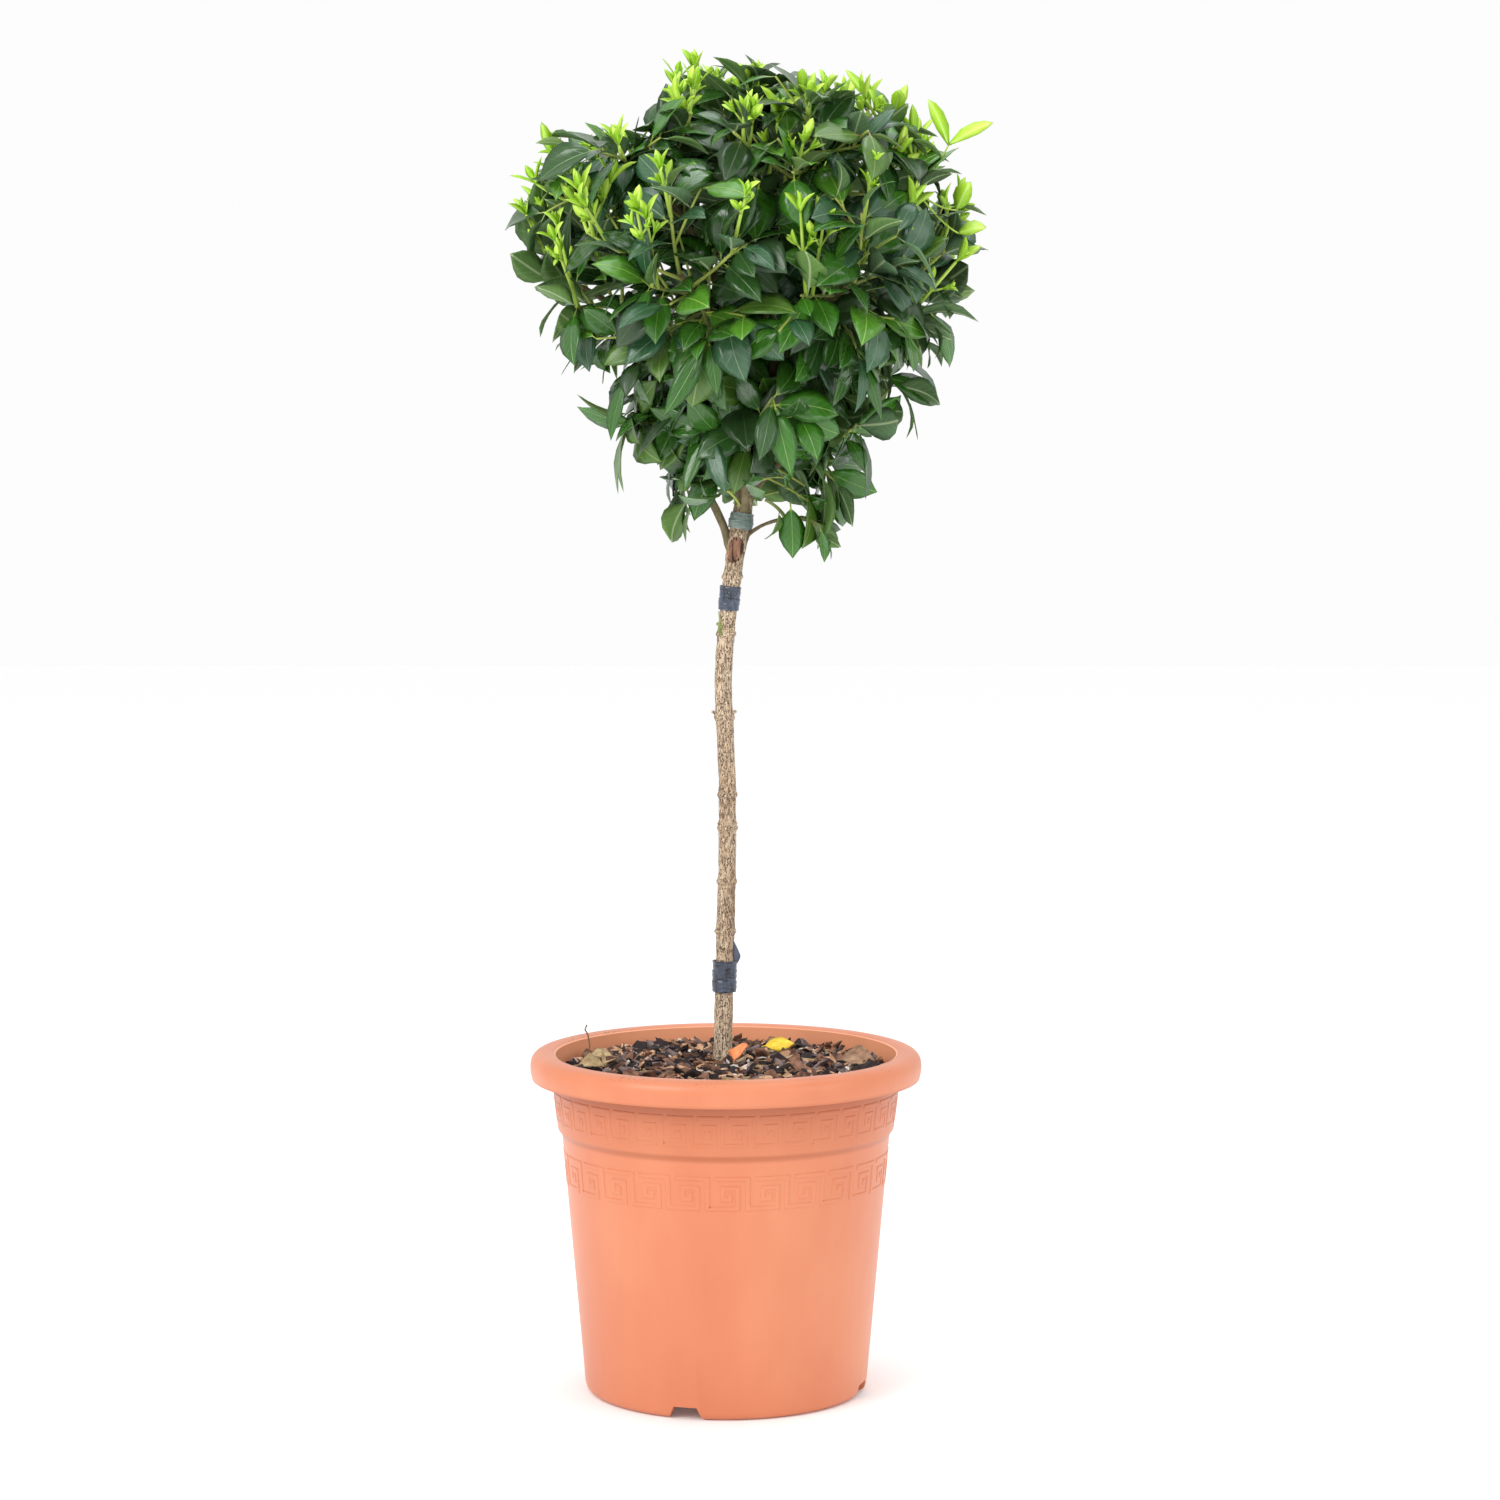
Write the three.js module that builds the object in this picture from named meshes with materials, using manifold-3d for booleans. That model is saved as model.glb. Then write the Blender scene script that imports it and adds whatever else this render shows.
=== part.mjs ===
// A laurustinus grown as a standard: a loose round head of leaves on one clear stem, in a
// moulded terracotta-coloured pot. Millimetres, +Z up. The origin is the middle of the pot's
// underside, and the front of the plant faces -Y.

import * as THREE from 'three';
import { mergeVertices } from 'three/addons/utils/BufferGeometryUtils.js';
import Module from 'manifold-3d';

const library = await Module();
library.setup();

// ---------------------------------------------------------------- driving dimensions

const GAP = 0.3;

const POT = {
  sides: 36,
  height: 347.5,
  rimRadius: 200,
  bandTopRadius: 178,
  bandFootRadius: 172,
  stepHeight: 8,
  bodyTopRadius: 167.5,
  bodyTop: 263.5,
  footRadius: 144.6,
  wall: 3.5,
  footHeight: 13,
};
const LIP = { depth: 26, innerRadius: 174, skin: 3, roof: 8.5, shoulder: 4, crown: 12, fall: 21 };
// The underside: a flat disc, a raised channel round it, and the ring that the pot stands on.
const FOOT = { discRadius: 94, slope: 4, channel: 133.6, ringInner: 136, ringOuter: 140.6, round: 6 };
const NOTCH = { count: 4, turn: -17, width: 41, topWidth: 27, height: 12.5, depth: 14 };
const DRAIN = { radius: 7, ring: 116, sides: 8 };

const SOIL = {
  wallHeight: 325, seatHeight: 335, seatRadius: 26, lump: 2.6, ring: 0.62, seed: 11,
};

const TRUNK = {
  sides: 8,
  rowStep: 46,
  footRadius: 9.5,
  middleRadius: 8.7,
  forkRadius: 11.2,
  forkHeight: 888,
  forkReach: 38,
  tipRadius: 3.6,
  tipHeight: 1112,
  flare: 1.7,
  flareHeight: 26,
};
// The stem's slight bends, from the soil to the tip.
const TRUNK_BENDS = [
  [-3.6, 0], [-1.2, 2], [0.8, 3], [1.2, 1], [-2.2, -2], [5, -3], [19.5, -1], [22.5, 2], [20, 0],
];
const STEM_NODES = [470, 521, 576, 610, 689, 774, 832];
const NODE_SWELL = { radius: 1.1, reach: 9 };
// Dead stubs of side buds, in pairs, each pair turned its own way round the stem.
const NUB = { length: 4.6, radius: 2.4, sides: 4, sunk: 0.6, pairs: [[689, 0.25], [774, 2.2]] };

const TIE = { thickness: 1.8, sides: 8 };
const LOWER_TIE = { foot: 408, top: 440 };
const UPPER_TIE = { foot: 798, top: 822 };
const STEM_BAND = { foot: 880, top: 896 };

const CROWN = {
  centreX: 20, widest: 1170, radius: 248, rise: 190, drop: 330, upperPower: 2, lowerPower: 1.4,
};
// The crown's left shoulder is lower than its top.
const SHOULDER = { x: -60, z: 1287, tips: 40 };
// Each ring of foliage masses: how many, how far out and how high their hearts lie, and the
// height on the stem where the first of their boughs leaves it.
const RINGS = [
  { name: 'low', count: 4, out: 90, height: 968, turn: -90, foot: 904, footStep: 12, bough: 4.4 },
  { name: 'mid', count: 6, out: 158, height: 1128, turn: 8, foot: 940, footStep: 25, bough: 5.4 },
  { name: 'upper', count: 3, out: 118, height: 1246, turn: 70, foot: 1012, footStep: 22, bough: 4.4 },
  { name: 'top', count: 1, out: 0, height: 1280, turn: 0, foot: 1112, footStep: 0, bough: 3.6 },
];
// The first fork of the stem: this mass's bough leaves it below the others, beside the band.
const FIRST_FORK = { name: 'low_4', foot: 866 };
const SIDE_SHOOT = {
  heart: [76, -25, 892], reach: 58, foot: 872, bough: 3.2, tipTurns: [-0.4, 0.7], spread: 20,
};
const HEART = { jitter: 9, seed: 5 };
// A bough starts on the stem, bends over by `out` and `rise`, and ends at `end` of its curve,
// where the stem of its mass goes on.
const BOUGH = { sunk: 2, out: 0.3, rise: 0.65, lift: 6, end: 0.62, tipRadius: 3.4, steps: 3, sides: 6 };
const STEM = { foot: 3.3, tip: 2.6, steps: 3, sides: 4, firstTwig: 0.12 };
const SPACE_MARGIN = 0.6;

const TIP_LAYERS = [{ count: 66, inset: 47 }, { count: 8, inset: 112 }];
const TIP = { jitter: 10, seed: 23 };
const TWIG = {
  sides: 3, steps: 2, foot: 1.9, tip: 1.4, nodes: [0.38, 0.6, 0.8, 0.98],
  sway: 0.1, follow: 0.07, sagLow: 0.14, sagHigh: -0.2,
};
const LEAF = {
  shortest: 62, longest: 88, broad: 0.48, thick: 1.9, widestAt: 0.44, thickestAt: 0.16, sunk: 0.6,
  arch: 0.06, ribArch: 0.022, openFoot: 1.15, openTip: 0.7, endSize: 0.86,
  droopLow: 0.85, droopHigh: 0.12, droopVaries: 0.18, roll: 0.45, towardsSky: 0.9, towardsOut: 0.55,
};
const YOUNG = {
  length: 32, broad: 0.42, rise: 30, share: 0.33, above: 1165, open: 0.5, below: 2.5, upright: 0.9,
  follow: 0.45,
};
const LEAF_TRIES = [
  { scale: 1, lift: 0 }, { scale: 1, lift: 0.4 }, { scale: 0.8, lift: 0 },
  { scale: 0.8, lift: 0.4 }, { scale: 0.7, lift: 0.1 },
];
const CLEAR = { leaf: 2.2, twig: 1, step: 4, from: 840, samples: 30, outline: 0.3 };
const MASS_SEED = { first: 101, step: 37 };

const COLOURS = {
  pot: 0xf4946a, soil: 0x4a3a34, bark: 0xbaa28a, tape: 0x2f3a4a, band: 0x6e7f7c,
  bough: 0x8f8a5c, foliage: 0x2c5a2a,
};

// ---------------------------------------------------------------- small helpers

const UP = new THREE.Vector3(0, 0, 1);

function vector(x, y, z) {
  return new THREE.Vector3(x, y, z);
}

function blend(low, high, share) {
  return low + (high - low) * share;
}

function limit(value, low, high) {
  return Math.min(high, Math.max(low, value));
}

// The same seed always gives the same run of numbers.
function seededNumbers(seed) {
  let state = seed;
  return (low, high) => {
    state = (state + 0x6d2b79f5) | 0;
    let mixed = Math.imul(state ^ (state >>> 15), state | 1);
    mixed ^= mixed + Math.imul(mixed ^ (mixed >>> 7), mixed | 61);
    return blend(low, high, ((mixed ^ (mixed >>> 14)) >>> 0) / 4294967296);
  };
}

// ---------------------------------------------------------------- solids

function closedGeometry(geometry) {
  const bare = geometry.clone();
  bare.deleteAttribute('normal');
  bare.deleteAttribute('uv');
  const merged = mergeVertices(bare, 1e-4);
  const corners = merged.index.array;
  const kept = [];
  for (let i = 0; i < corners.length; i += 3) {
    const [a, b, c] = [corners[i], corners[i + 1], corners[i + 2]];
    if (a !== b && b !== c && c !== a) {
      kept.push(a, b, c);
    }
  }
  merged.setIndex(kept);
  return merged;
}

function toSolid(geometry) {
  const closed = closedGeometry(geometry);
  const mesh = new library.Mesh({
    numProp: 3,
    vertProperties: new Float32Array(closed.attributes.position.array),
    triVerts: new Uint32Array(closed.index.array),
  });
  return new library.Manifold(mesh);
}

function toGeometry(solid) {
  const mesh = solid.getMesh();
  const geometry = new THREE.BufferGeometry();
  const places = new Float32Array(mesh.vertProperties);
  geometry.setAttribute('position', new THREE.BufferAttribute(places, 3));
  geometry.setIndex(Array.from(mesh.triVerts));
  return geometry;
}

// Sorts a mesh into its separate shells and keeps the one that holds the most. A hollow that
// joining closed off is a shell of its own, so leaving it out fills it.
function largestShell(geometry) {
  const closed = closedGeometry(geometry);
  const place = closed.attributes.position;
  const corners = closed.index.array;
  const leader = Array.from({ length: place.count }, (_, i) => i);
  const find = (i) => {
    let top = i;
    while (leader[top] !== top) {
      leader[top] = leader[leader[top]];
      top = leader[top];
    }
    return top;
  };
  for (let i = 0; i < corners.length; i += 3) {
    leader[find(corners[i])] = find(corners[i + 1]);
    leader[find(corners[i + 1])] = find(corners[i + 2]);
  }
  const volumes = new Map();
  const [a, b, c] = [vector(0, 0, 0), vector(0, 0, 0), vector(0, 0, 0)];
  for (let i = 0; i < corners.length; i += 3) {
    a.fromBufferAttribute(place, corners[i]);
    b.fromBufferAttribute(place, corners[i + 1]);
    c.fromBufferAttribute(place, corners[i + 2]);
    const shell = find(corners[i]);
    volumes.set(shell, (volumes.get(shell) ?? 0) + a.dot(b.cross(c)) / 6);
  }
  const [largest] = [...volumes.entries()].sort((one, other) => other[1] - one[1])[0];
  const kept = [];
  for (let i = 0; i < corners.length; i += 3) {
    if (find(corners[i]) === largest) {
      kept.push(corners[i], corners[i + 1], corners[i + 2]);
    }
  }
  closed.setIndex(kept);
  return closed;
}

function joined(solids) {
  return solids.reduce((whole, solid) => whole.add(solid));
}

// A round limb through rings of { centre, radius, ahead }, each ring square to its own `ahead`.
// `reference` fixes how the sides turn about the limb.
function limb(rings, sides, reference) {
  const last = rings.length - 1;
  const geometry = new THREE.CylinderGeometry(1, 1, 1, sides, last);
  const place = geometry.attributes.position;
  for (let i = 0; i < place.count; i += 1) {
    const { centre, radius, ahead } = rings[Math.round((place.getY(i) + 0.5) * last)];
    const across = reference.clone().addScaledVector(ahead, -ahead.dot(reference)).normalize();
    const over = across.clone().cross(ahead);
    const point = centre.clone();
    point.addScaledVector(across, place.getX(i) * radius);
    point.addScaledVector(over, place.getZ(i) * radius);
    place.setXYZ(i, point.x, point.y, point.z);
  }
  return geometry;
}

// ---------------------------------------------------------------- pot and soil

function potProfile() {
  const foot = POT.footHeight;
  const lipFoot = POT.height - LIP.depth;
  const lipRoof = POT.height - LIP.roof;
  const underside = [
    [0, 0], [FOOT.discRadius, 0], [FOOT.discRadius + FOOT.slope, foot], [FOOT.channel, foot],
    [FOOT.ringInner, 0], [FOOT.ringOuter, 0], [POT.footRadius, FOOT.round],
  ];
  const wall = [[POT.bodyTopRadius, POT.bodyTop], [POT.bandFootRadius, POT.bodyTop + POT.stepHeight]];
  // The rolled lip is hollow and open below.
  const hollow = [
    [POT.bandTopRadius, lipFoot], [POT.bandTopRadius + 1, lipRoof],
    [POT.rimRadius - 2 * LIP.shoulder, lipRoof], [POT.rimRadius - LIP.shoulder, lipFoot],
  ];
  const lip = [
    [POT.rimRadius - LIP.shoulder + LIP.skin, lipFoot], [POT.rimRadius, lipFoot + LIP.crown],
    [POT.rimRadius - LIP.shoulder, POT.height - LIP.shoulder],
    [POT.rimRadius - LIP.crown, POT.height], [POT.rimRadius - LIP.fall, POT.height - LIP.skin / 2],
    [LIP.innerRadius, lipRoof],
  ];
  const inside = [...innerWall(0, foot + POT.wall), [0, POT.wall]];
  return [...underside, ...wall, ...hollow, ...lip, ...inside];
}

// The pot's inner wall and floor from the lip down, moved in by `inset`.
function innerWall(inset, floor) {
  const inwards = POT.wall + inset;
  return [
    [LIP.innerRadius - inset, POT.height - LIP.depth - LIP.skin],
    [POT.bandFootRadius - inwards, POT.bodyTop + POT.stepHeight + 1],
    [POT.bodyTopRadius - inwards, POT.bodyTop + 1],
    [POT.footRadius + 1 - inwards, floor],
    [FOOT.discRadius + FOOT.slope + 2, floor],
    [FOOT.discRadius + 1.5, floor - POT.footHeight],
  ];
}

function latheOf(profile) {
  const points = profile.map(([radius, height]) => new THREE.Vector2(radius, height));
  const geometry = new THREE.LatheGeometry(points, POT.sides);
  geometry.rotateX(Math.PI / 2);
  return geometry;
}

// One notch in the foot, wider at the ground, pointing along -Y before it is turned.
function notchCut() {
  const low = NOTCH.width / 2;
  const high = NOTCH.topWidth / 2;
  const outline = new THREE.Shape([
    new THREE.Vector2(-low, -1), new THREE.Vector2(low, -1),
    new THREE.Vector2(high, NOTCH.height), new THREE.Vector2(-high, NOTCH.height),
  ]);
  const geometry = new THREE.ExtrudeGeometry(outline, { depth: NOTCH.depth, bevelEnabled: false });
  geometry.rotateX(Math.PI / 2);
  geometry.translate(0, -FOOT.channel + 1, 0);
  return geometry;
}

function drainCut() {
  const length = POT.footHeight * 3;
  const geometry = new THREE.CylinderGeometry(DRAIN.radius, DRAIN.radius, length, DRAIN.sides);
  geometry.rotateX(Math.PI / 2);
  geometry.translate(0, -DRAIN.ring, POT.footHeight);
  return geometry;
}

function potGeometry() {
  let solid = toSolid(latheOf(potProfile()));
  for (let i = 0; i < NOTCH.count; i += 1) {
    const turn = THREE.MathUtils.degToRad(NOTCH.turn + (360 / NOTCH.count) * i);
    solid = solid.subtract(toSolid(notchCut().rotateZ(turn)));
    solid = solid.subtract(toSolid(drainCut().rotateZ(turn)));
  }
  return toGeometry(solid);
}

// The potting mix fills the pot, lies higher at the stem, and has a level seat under it.
function soilGeometry() {
  const wall = innerWall(GAP, POT.footHeight + POT.wall + GAP);
  const edge = wall[0][0] - 1;
  const ring = edge * SOIL.ring;
  const ringHeight = blend(SOIL.seatHeight, SOIL.wallHeight, SOIL.ring ** 2);
  const profile = [
    [0, POT.wall + GAP], ...wall.reverse(), [edge, SOIL.wallHeight], [ring, ringHeight],
    [SOIL.seatRadius, SOIL.seatHeight], [0, SOIL.seatHeight],
  ];
  const geometry = closedGeometry(latheOf(profile));
  const place = geometry.attributes.position;
  const random = seededNumbers(SOIL.seed);
  for (let i = 0; i < place.count; i += 1) {
    const out = Math.hypot(place.getX(i), place.getY(i));
    if (Math.abs(out - ring) < 1 && Math.abs(place.getZ(i) - ringHeight) < 1) {
      place.setZ(i, place.getZ(i) + random(-SOIL.lump, SOIL.lump));
    }
  }
  return geometry;
}

// ---------------------------------------------------------------- stem, ties and band

const trunkFoot = SOIL.seatHeight + GAP;
const trunkCurve = new THREE.CatmullRomCurve3(
  TRUNK_BENDS.map(([x, y], i) => {
    const share = i / (TRUNK_BENDS.length - 1);
    return vector(x, y, blend(trunkFoot, TRUNK.tipHeight, share));
  }),
  false,
  'catmullrom',
);

function trunkCentre(height) {
  const share = (height - trunkFoot) / (TRUNK.tipHeight - trunkFoot);
  const point = trunkCurve.getPoint(limit(share, 0, 1));
  return vector(point.x, point.y, height);
}

function trunkRadius(height) {
  const middle = blend(trunkFoot, TRUNK.forkHeight, 0.5);
  let radius = TRUNK.forkRadius;
  if (height < middle) {
    radius = blend(TRUNK.footRadius, TRUNK.middleRadius, (height - trunkFoot) / (middle - trunkFoot));
  } else if (height < TRUNK.forkHeight) {
    const share = limit(1 - (TRUNK.forkHeight - height) / TRUNK.forkReach, 0, 1);
    radius = blend(TRUNK.middleRadius, TRUNK.forkRadius, share);
  } else {
    const share = (height - TRUNK.forkHeight) / (TRUNK.tipHeight - TRUNK.forkHeight);
    radius = blend(TRUNK.forkRadius, TRUNK.tipRadius, Math.sqrt(limit(share, 0, 1)));
  }
  const flare = limit(1 - (height - trunkFoot) / TRUNK.flareHeight, 0, 1);
  for (const node of STEM_NODES) {
    radius += NODE_SWELL.radius * limit(1 - Math.abs(height - node) / NODE_SWELL.reach, 0, 1);
  }
  return radius + TRUNK.flare * flare * flare;
}

function trunkRings(extra, foot, top, heights) {
  const inside = heights.filter((height) => height > foot + 2 && height < top - 2);
  return [foot, ...inside, top].map((height) => ({
    centre: trunkCentre(height), radius: trunkRadius(height) + extra, ahead: UP,
  }));
}

function trunkHeights() {
  const first = trunkFoot + 2 * TRUNK.flareHeight;
  const count = Math.floor((TRUNK.tipHeight - first) / TRUNK.rowStep);
  const even = Array.from({ length: count }, (_, i) => first + i * TRUNK.rowStep);
  const apart = even.filter((height) => {
    return STEM_NODES.every((node) => Math.abs(height - node) > 1.5 * NODE_SWELL.reach);
  });
  const swellings = STEM_NODES.flatMap((node) => {
    return [node - NODE_SWELL.reach, node, node + NODE_SWELL.reach];
  });
  const flare = [trunkFoot + TRUNK.flareHeight / 3, trunkFoot + TRUNK.flareHeight];
  return [...flare, ...apart, ...swellings, TRUNK.forkHeight].sort((one, other) => one - other);
}

const ACROSS = vector(1, 0, 0);

// The stem grown outwards by `extra`, to cut pieces clear of it or to shape the ties.
function trunkShape(extra, foot, top) {
  return toSolid(limb(trunkRings(extra, foot, top, trunkHeights()), TRUNK.sides, ACROSS));
}

function nub(height, turn) {
  const out = vector(Math.cos(turn), Math.sin(turn), 0.5).normalize();
  const radius = trunkRadius(height);
  const root = trunkCentre(height).addScaledVector(out, radius * NUB.sunk);
  const end = trunkCentre(height).addScaledVector(out, radius + NUB.length);
  const rings = [
    { centre: root, radius: NUB.radius, ahead: out },
    { centre: end, radius: NUB.radius / 2, ahead: out },
  ];
  return toSolid(limb(rings, NUB.sides, UP));
}

function trunkGeometry() {
  const whole = [trunkShape(0, trunkFoot, TRUNK.tipHeight)];
  for (const [height, turn] of NUB.pairs) {
    whole.push(nub(height, turn), nub(height, turn + Math.PI));
  }
  return toGeometry(joined(whole));
}

function tieOutside({ foot, top }, extra) {
  const outwards = GAP + TIE.thickness + extra;
  const rings = trunkRings(outwards, foot - extra, top + extra, [(foot + top) / 2]);
  return toSolid(limb(rings, TIE.sides, ACROSS));
}

// A ring of tape lying on the stem.
function tieGeometry(tie) {
  return toGeometry(tieOutside(tie, 0).subtract(trunkShape(GAP, trunkFoot, TRUNK.tipHeight)));
}

// ---------------------------------------------------------------- the crown's plan

// 0 in the middle of the crown, 1 on its outline and more outside it.
function crownLevel(point) {
  if (point.x < SHOULDER.x && point.z > SHOULDER.z) {
    return 2;
  }
  const across = Math.hypot(point.x - CROWN.centreX, point.y) / CROWN.radius;
  const above = point.z >= CROWN.widest;
  const power = above ? CROWN.upperPower : CROWN.lowerPower;
  const height = Math.abs(point.z - CROWN.widest) / (above ? CROWN.rise : CROWN.drop);
  return across ** power + height ** power;
}

function crownPoint(direction, inset) {
  const above = direction.z >= 0;
  const power = above ? CROWN.upperPower : CROWN.lowerPower;
  const across = Math.hypot(direction.x, direction.y) / (CROWN.radius - inset);
  const height = Math.abs(direction.z) / ((above ? CROWN.rise : CROWN.drop) - inset);
  const reach = (across ** power + height ** power) ** (-1 / power);
  return direction.clone().multiplyScalar(reach).add(vector(CROWN.centreX, 0, CROWN.widest));
}

// How high a place lies in the crown, 0 at the foot and 1 at the top.
function crownShare(height) {
  return limit((height - CROWN.widest + CROWN.drop) / (CROWN.rise + CROWN.drop), 0, 1);
}

function planMasses() {
  const random = seededNumbers(HEART.seed);
  const masses = [];
  for (const ring of RINGS) {
    for (let i = 0; i < ring.count; i += 1) {
      const turn = THREE.MathUtils.degToRad(ring.turn + (360 / ring.count) * i);
      const heart = vector(
        CROWN.centreX + ring.out * Math.cos(turn) + random(-HEART.jitter, HEART.jitter),
        ring.out * Math.sin(turn) + random(-HEART.jitter, HEART.jitter),
        ring.height + random(-HEART.jitter, HEART.jitter),
      );
      const pairs = Math.ceil(ring.count / 2);
      const name = ring.count === 1 ? ring.name : `${ring.name}_${i + 1}`;
      const foot = ring.foot + ring.footStep * (i % pairs);
      masses.push({
        name,
        heart,
        foot: name === FIRST_FORK.name ? FIRST_FORK.foot : foot,
        radius: ring.bough,
        onTrunk: ring.count === 1,
      });
    }
  }
  masses.push({
    name: 'side_shoot',
    heart: vector(...SIDE_SHOOT.heart),
    foot: SIDE_SHOOT.foot,
    radius: SIDE_SHOOT.bough,
    onTrunk: false,
    reach: SIDE_SHOOT.reach,
  });
  return masses;
}

// A limb leaves the stem steeply and bends outwards to the heart of its mass.
function limbCurve(mass) {
  const foot = trunkCentre(mass.foot);
  if (mass.onTrunk) {
    const start = foot.clone().addScaledVector(UP, GAP);
    return new THREE.QuadraticBezierCurve3(start, start.clone().lerp(mass.heart, 0.5), mass.heart);
  }
  const out = mass.heart.clone().sub(foot).setZ(0);
  const onBark = trunkRadius(mass.foot) - BOUGH.sunk;
  const start = foot.clone().addScaledVector(out.clone().normalize(), onBark);
  const bend = start.clone().addScaledVector(out, BOUGH.out);
  bend.z += (mass.heart.z - foot.z) * BOUGH.rise + BOUGH.lift;
  return new THREE.QuadraticBezierCurve3(start, bend, mass.heart);
}

const masses = planMasses();
masses.forEach((mass, i) => {
  mass.seed = MASS_SEED.first + MASS_SEED.step * i;
  mass.curve = limbCurve(mass);
  mass.stemStart = mass.onTrunk ? 0 : BOUGH.end;
});

function boughRadius(mass, share) {
  return blend(mass.radius, BOUGH.tipRadius, share);
}

// Points along the stem and the boughs, for keeping leaves and twigs off them.
function planLimbPoints() {
  const points = [];
  for (let height = CLEAR.from; height < TRUNK.tipHeight; height += CLEAR.step) {
    points.push({ centre: trunkCentre(height), radius: trunkRadius(height) });
  }
  for (const mass of masses.filter((one) => !one.onTrunk)) {
    for (let i = 0; i <= CLEAR.samples; i += 1) {
      const share = i / CLEAR.samples;
      points.push({
        centre: mass.curve.getPoint(share * BOUGH.end), radius: boughRadius(mass, share),
      });
    }
  }
  return points;
}
const limbPoints = planLimbPoints();

function clearOfLimbs(point, spare) {
  return limbPoints.every(({ centre, radius }) => {
    return centre.distanceToSquared(point) > (radius + spare) ** 2;
  });
}

// A mass keeps to the places that lie nearer to its heart than to any other.
function inSpace(mass, point, spare) {
  if (mass.reach === undefined && crownLevel(point) > 1) {
    return false;
  }
  if (mass.reach !== undefined && point.distanceTo(mass.heart) > mass.reach) {
    return false;
  }
  return masses.every((other) => {
    if (other === mass) {
      return true;
    }
    const towards = other.heart.clone().sub(mass.heart);
    const halfway = towards.length() / 2;
    return point.clone().sub(mass.heart).dot(towards.normalize()) < halfway - SPACE_MARGIN - spare;
  });
}

// Twig tips spread evenly over the crown, in turn round it by the golden angle.
function planTips() {
  const random = seededNumbers(TIP.seed);
  const golden = Math.PI * (3 - Math.sqrt(5));
  const tips = [];
  for (const layer of TIP_LAYERS) {
    for (let i = 0; i < layer.count; i += 1) {
      const rise = 1 - (2 * (i + 0.5)) / layer.count;
      const across = Math.sqrt(1 - rise * rise);
      const turn = golden * i;
      const direction = vector(across * Math.cos(turn), across * Math.sin(turn), rise);
      const tip = crownPoint(direction, layer.inset);
      tip.x += random(-TIP.jitter, TIP.jitter);
      tip.y += random(-TIP.jitter, TIP.jitter);
      tip.z += random(-TIP.jitter, TIP.jitter);
      if (tip.x < SHOULDER.x) {
        tip.z = Math.min(tip.z, SHOULDER.z - SHOULDER.tips);
      }
      tips.push(tip);
    }
  }
  for (const turn of SIDE_SHOOT.tipTurns) {
    const out = vector(Math.cos(turn), Math.sin(turn), -0.4).multiplyScalar(SIDE_SHOOT.spread);
    tips.push(out.add(vector(...SIDE_SHOOT.heart)));
  }
  return tips;
}

function nearestMass(point) {
  return masses.reduce((best, mass) => {
    return point.distanceTo(mass.heart) < point.distanceTo(best.heart) ? mass : best;
  });
}

// ---------------------------------------------------------------- growing one mass

function outwardAt(point) {
  return point.clone().sub(vector(CROWN.centreX, 0, CROWN.widest - CROWN.rise / 2)).normalize();
}

// The six corners of a leaf that leaves `root` along `along` and faces `face`.
function leafCorners(root, along, face, length, broad) {
  const across = along.clone().cross(face);
  const middle = root.clone().addScaledVector(along, LEAF.widestAt * length);
  middle.addScaledVector(face, length * LEAF.arch);
  const rib = root.clone().addScaledVector(along, LEAF.thickestAt * length);
  rib.addScaledVector(face, length * LEAF.ribArch);
  const start = root.clone().addScaledVector(along, -LEAF.sunk);
  const tip = root.clone().addScaledVector(along, length);
  const half = (length * broad) / 2;
  return { start, tip, middle, rib, across, face, half };
}

function leafClear(mass, leaf) {
  const { start, tip, middle, rib, across, face, half } = leaf;
  const left = middle.clone().addScaledVector(across, half);
  const right = middle.clone().addScaledVector(across, -half);
  const upper = rib.clone().addScaledVector(face, LEAF.thick / 2);
  if (![start, tip, left, right, upper].every((point) => inSpace(mass, point, CLEAR.outline))) {
    return false;
  }
  for (let i = 0; i <= 8; i += 1) {
    const share = i / 8;
    const toMiddle = limit(share / LEAF.widestAt, 0, 1);
    const pastMiddle = limit((share - LEAF.widestAt) / (1 - LEAF.widestAt), 0, 1);
    const centre = start.clone().lerp(middle, toMiddle).lerp(tip, pastMiddle);
    const spread = half * (share < LEAF.widestAt ? toMiddle : 1 - pastMiddle);
    for (const side of [-1, -0.5, 0, 0.5, 1]) {
      const point = centre.clone().addScaledVector(across, spread * side);
      if (!clearOfLimbs(point, CLEAR.leaf)) {
        return false;
      }
    }
  }
  return true;
}

// Two leaves of a mass meet only where they leave the same node of a twig.
function crossesOthers(leaf, grown) {
  const box = leaf.solid.boundingBox();
  return grown.some((other) => {
    const sameTwig = other.twig === leaf.twig;
    if (sameTwig && (other.pair === undefined || other.pair === leaf.pair)) {
      return false;
    }
    const apart = [0, 1, 2].some((axis) => {
      return box.min[axis] > other.box.max[axis] || box.max[axis] < other.box.min[axis];
    });
    return !apart && !leaf.solid.intersect(other.solid).isEmpty();
  });
}

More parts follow.
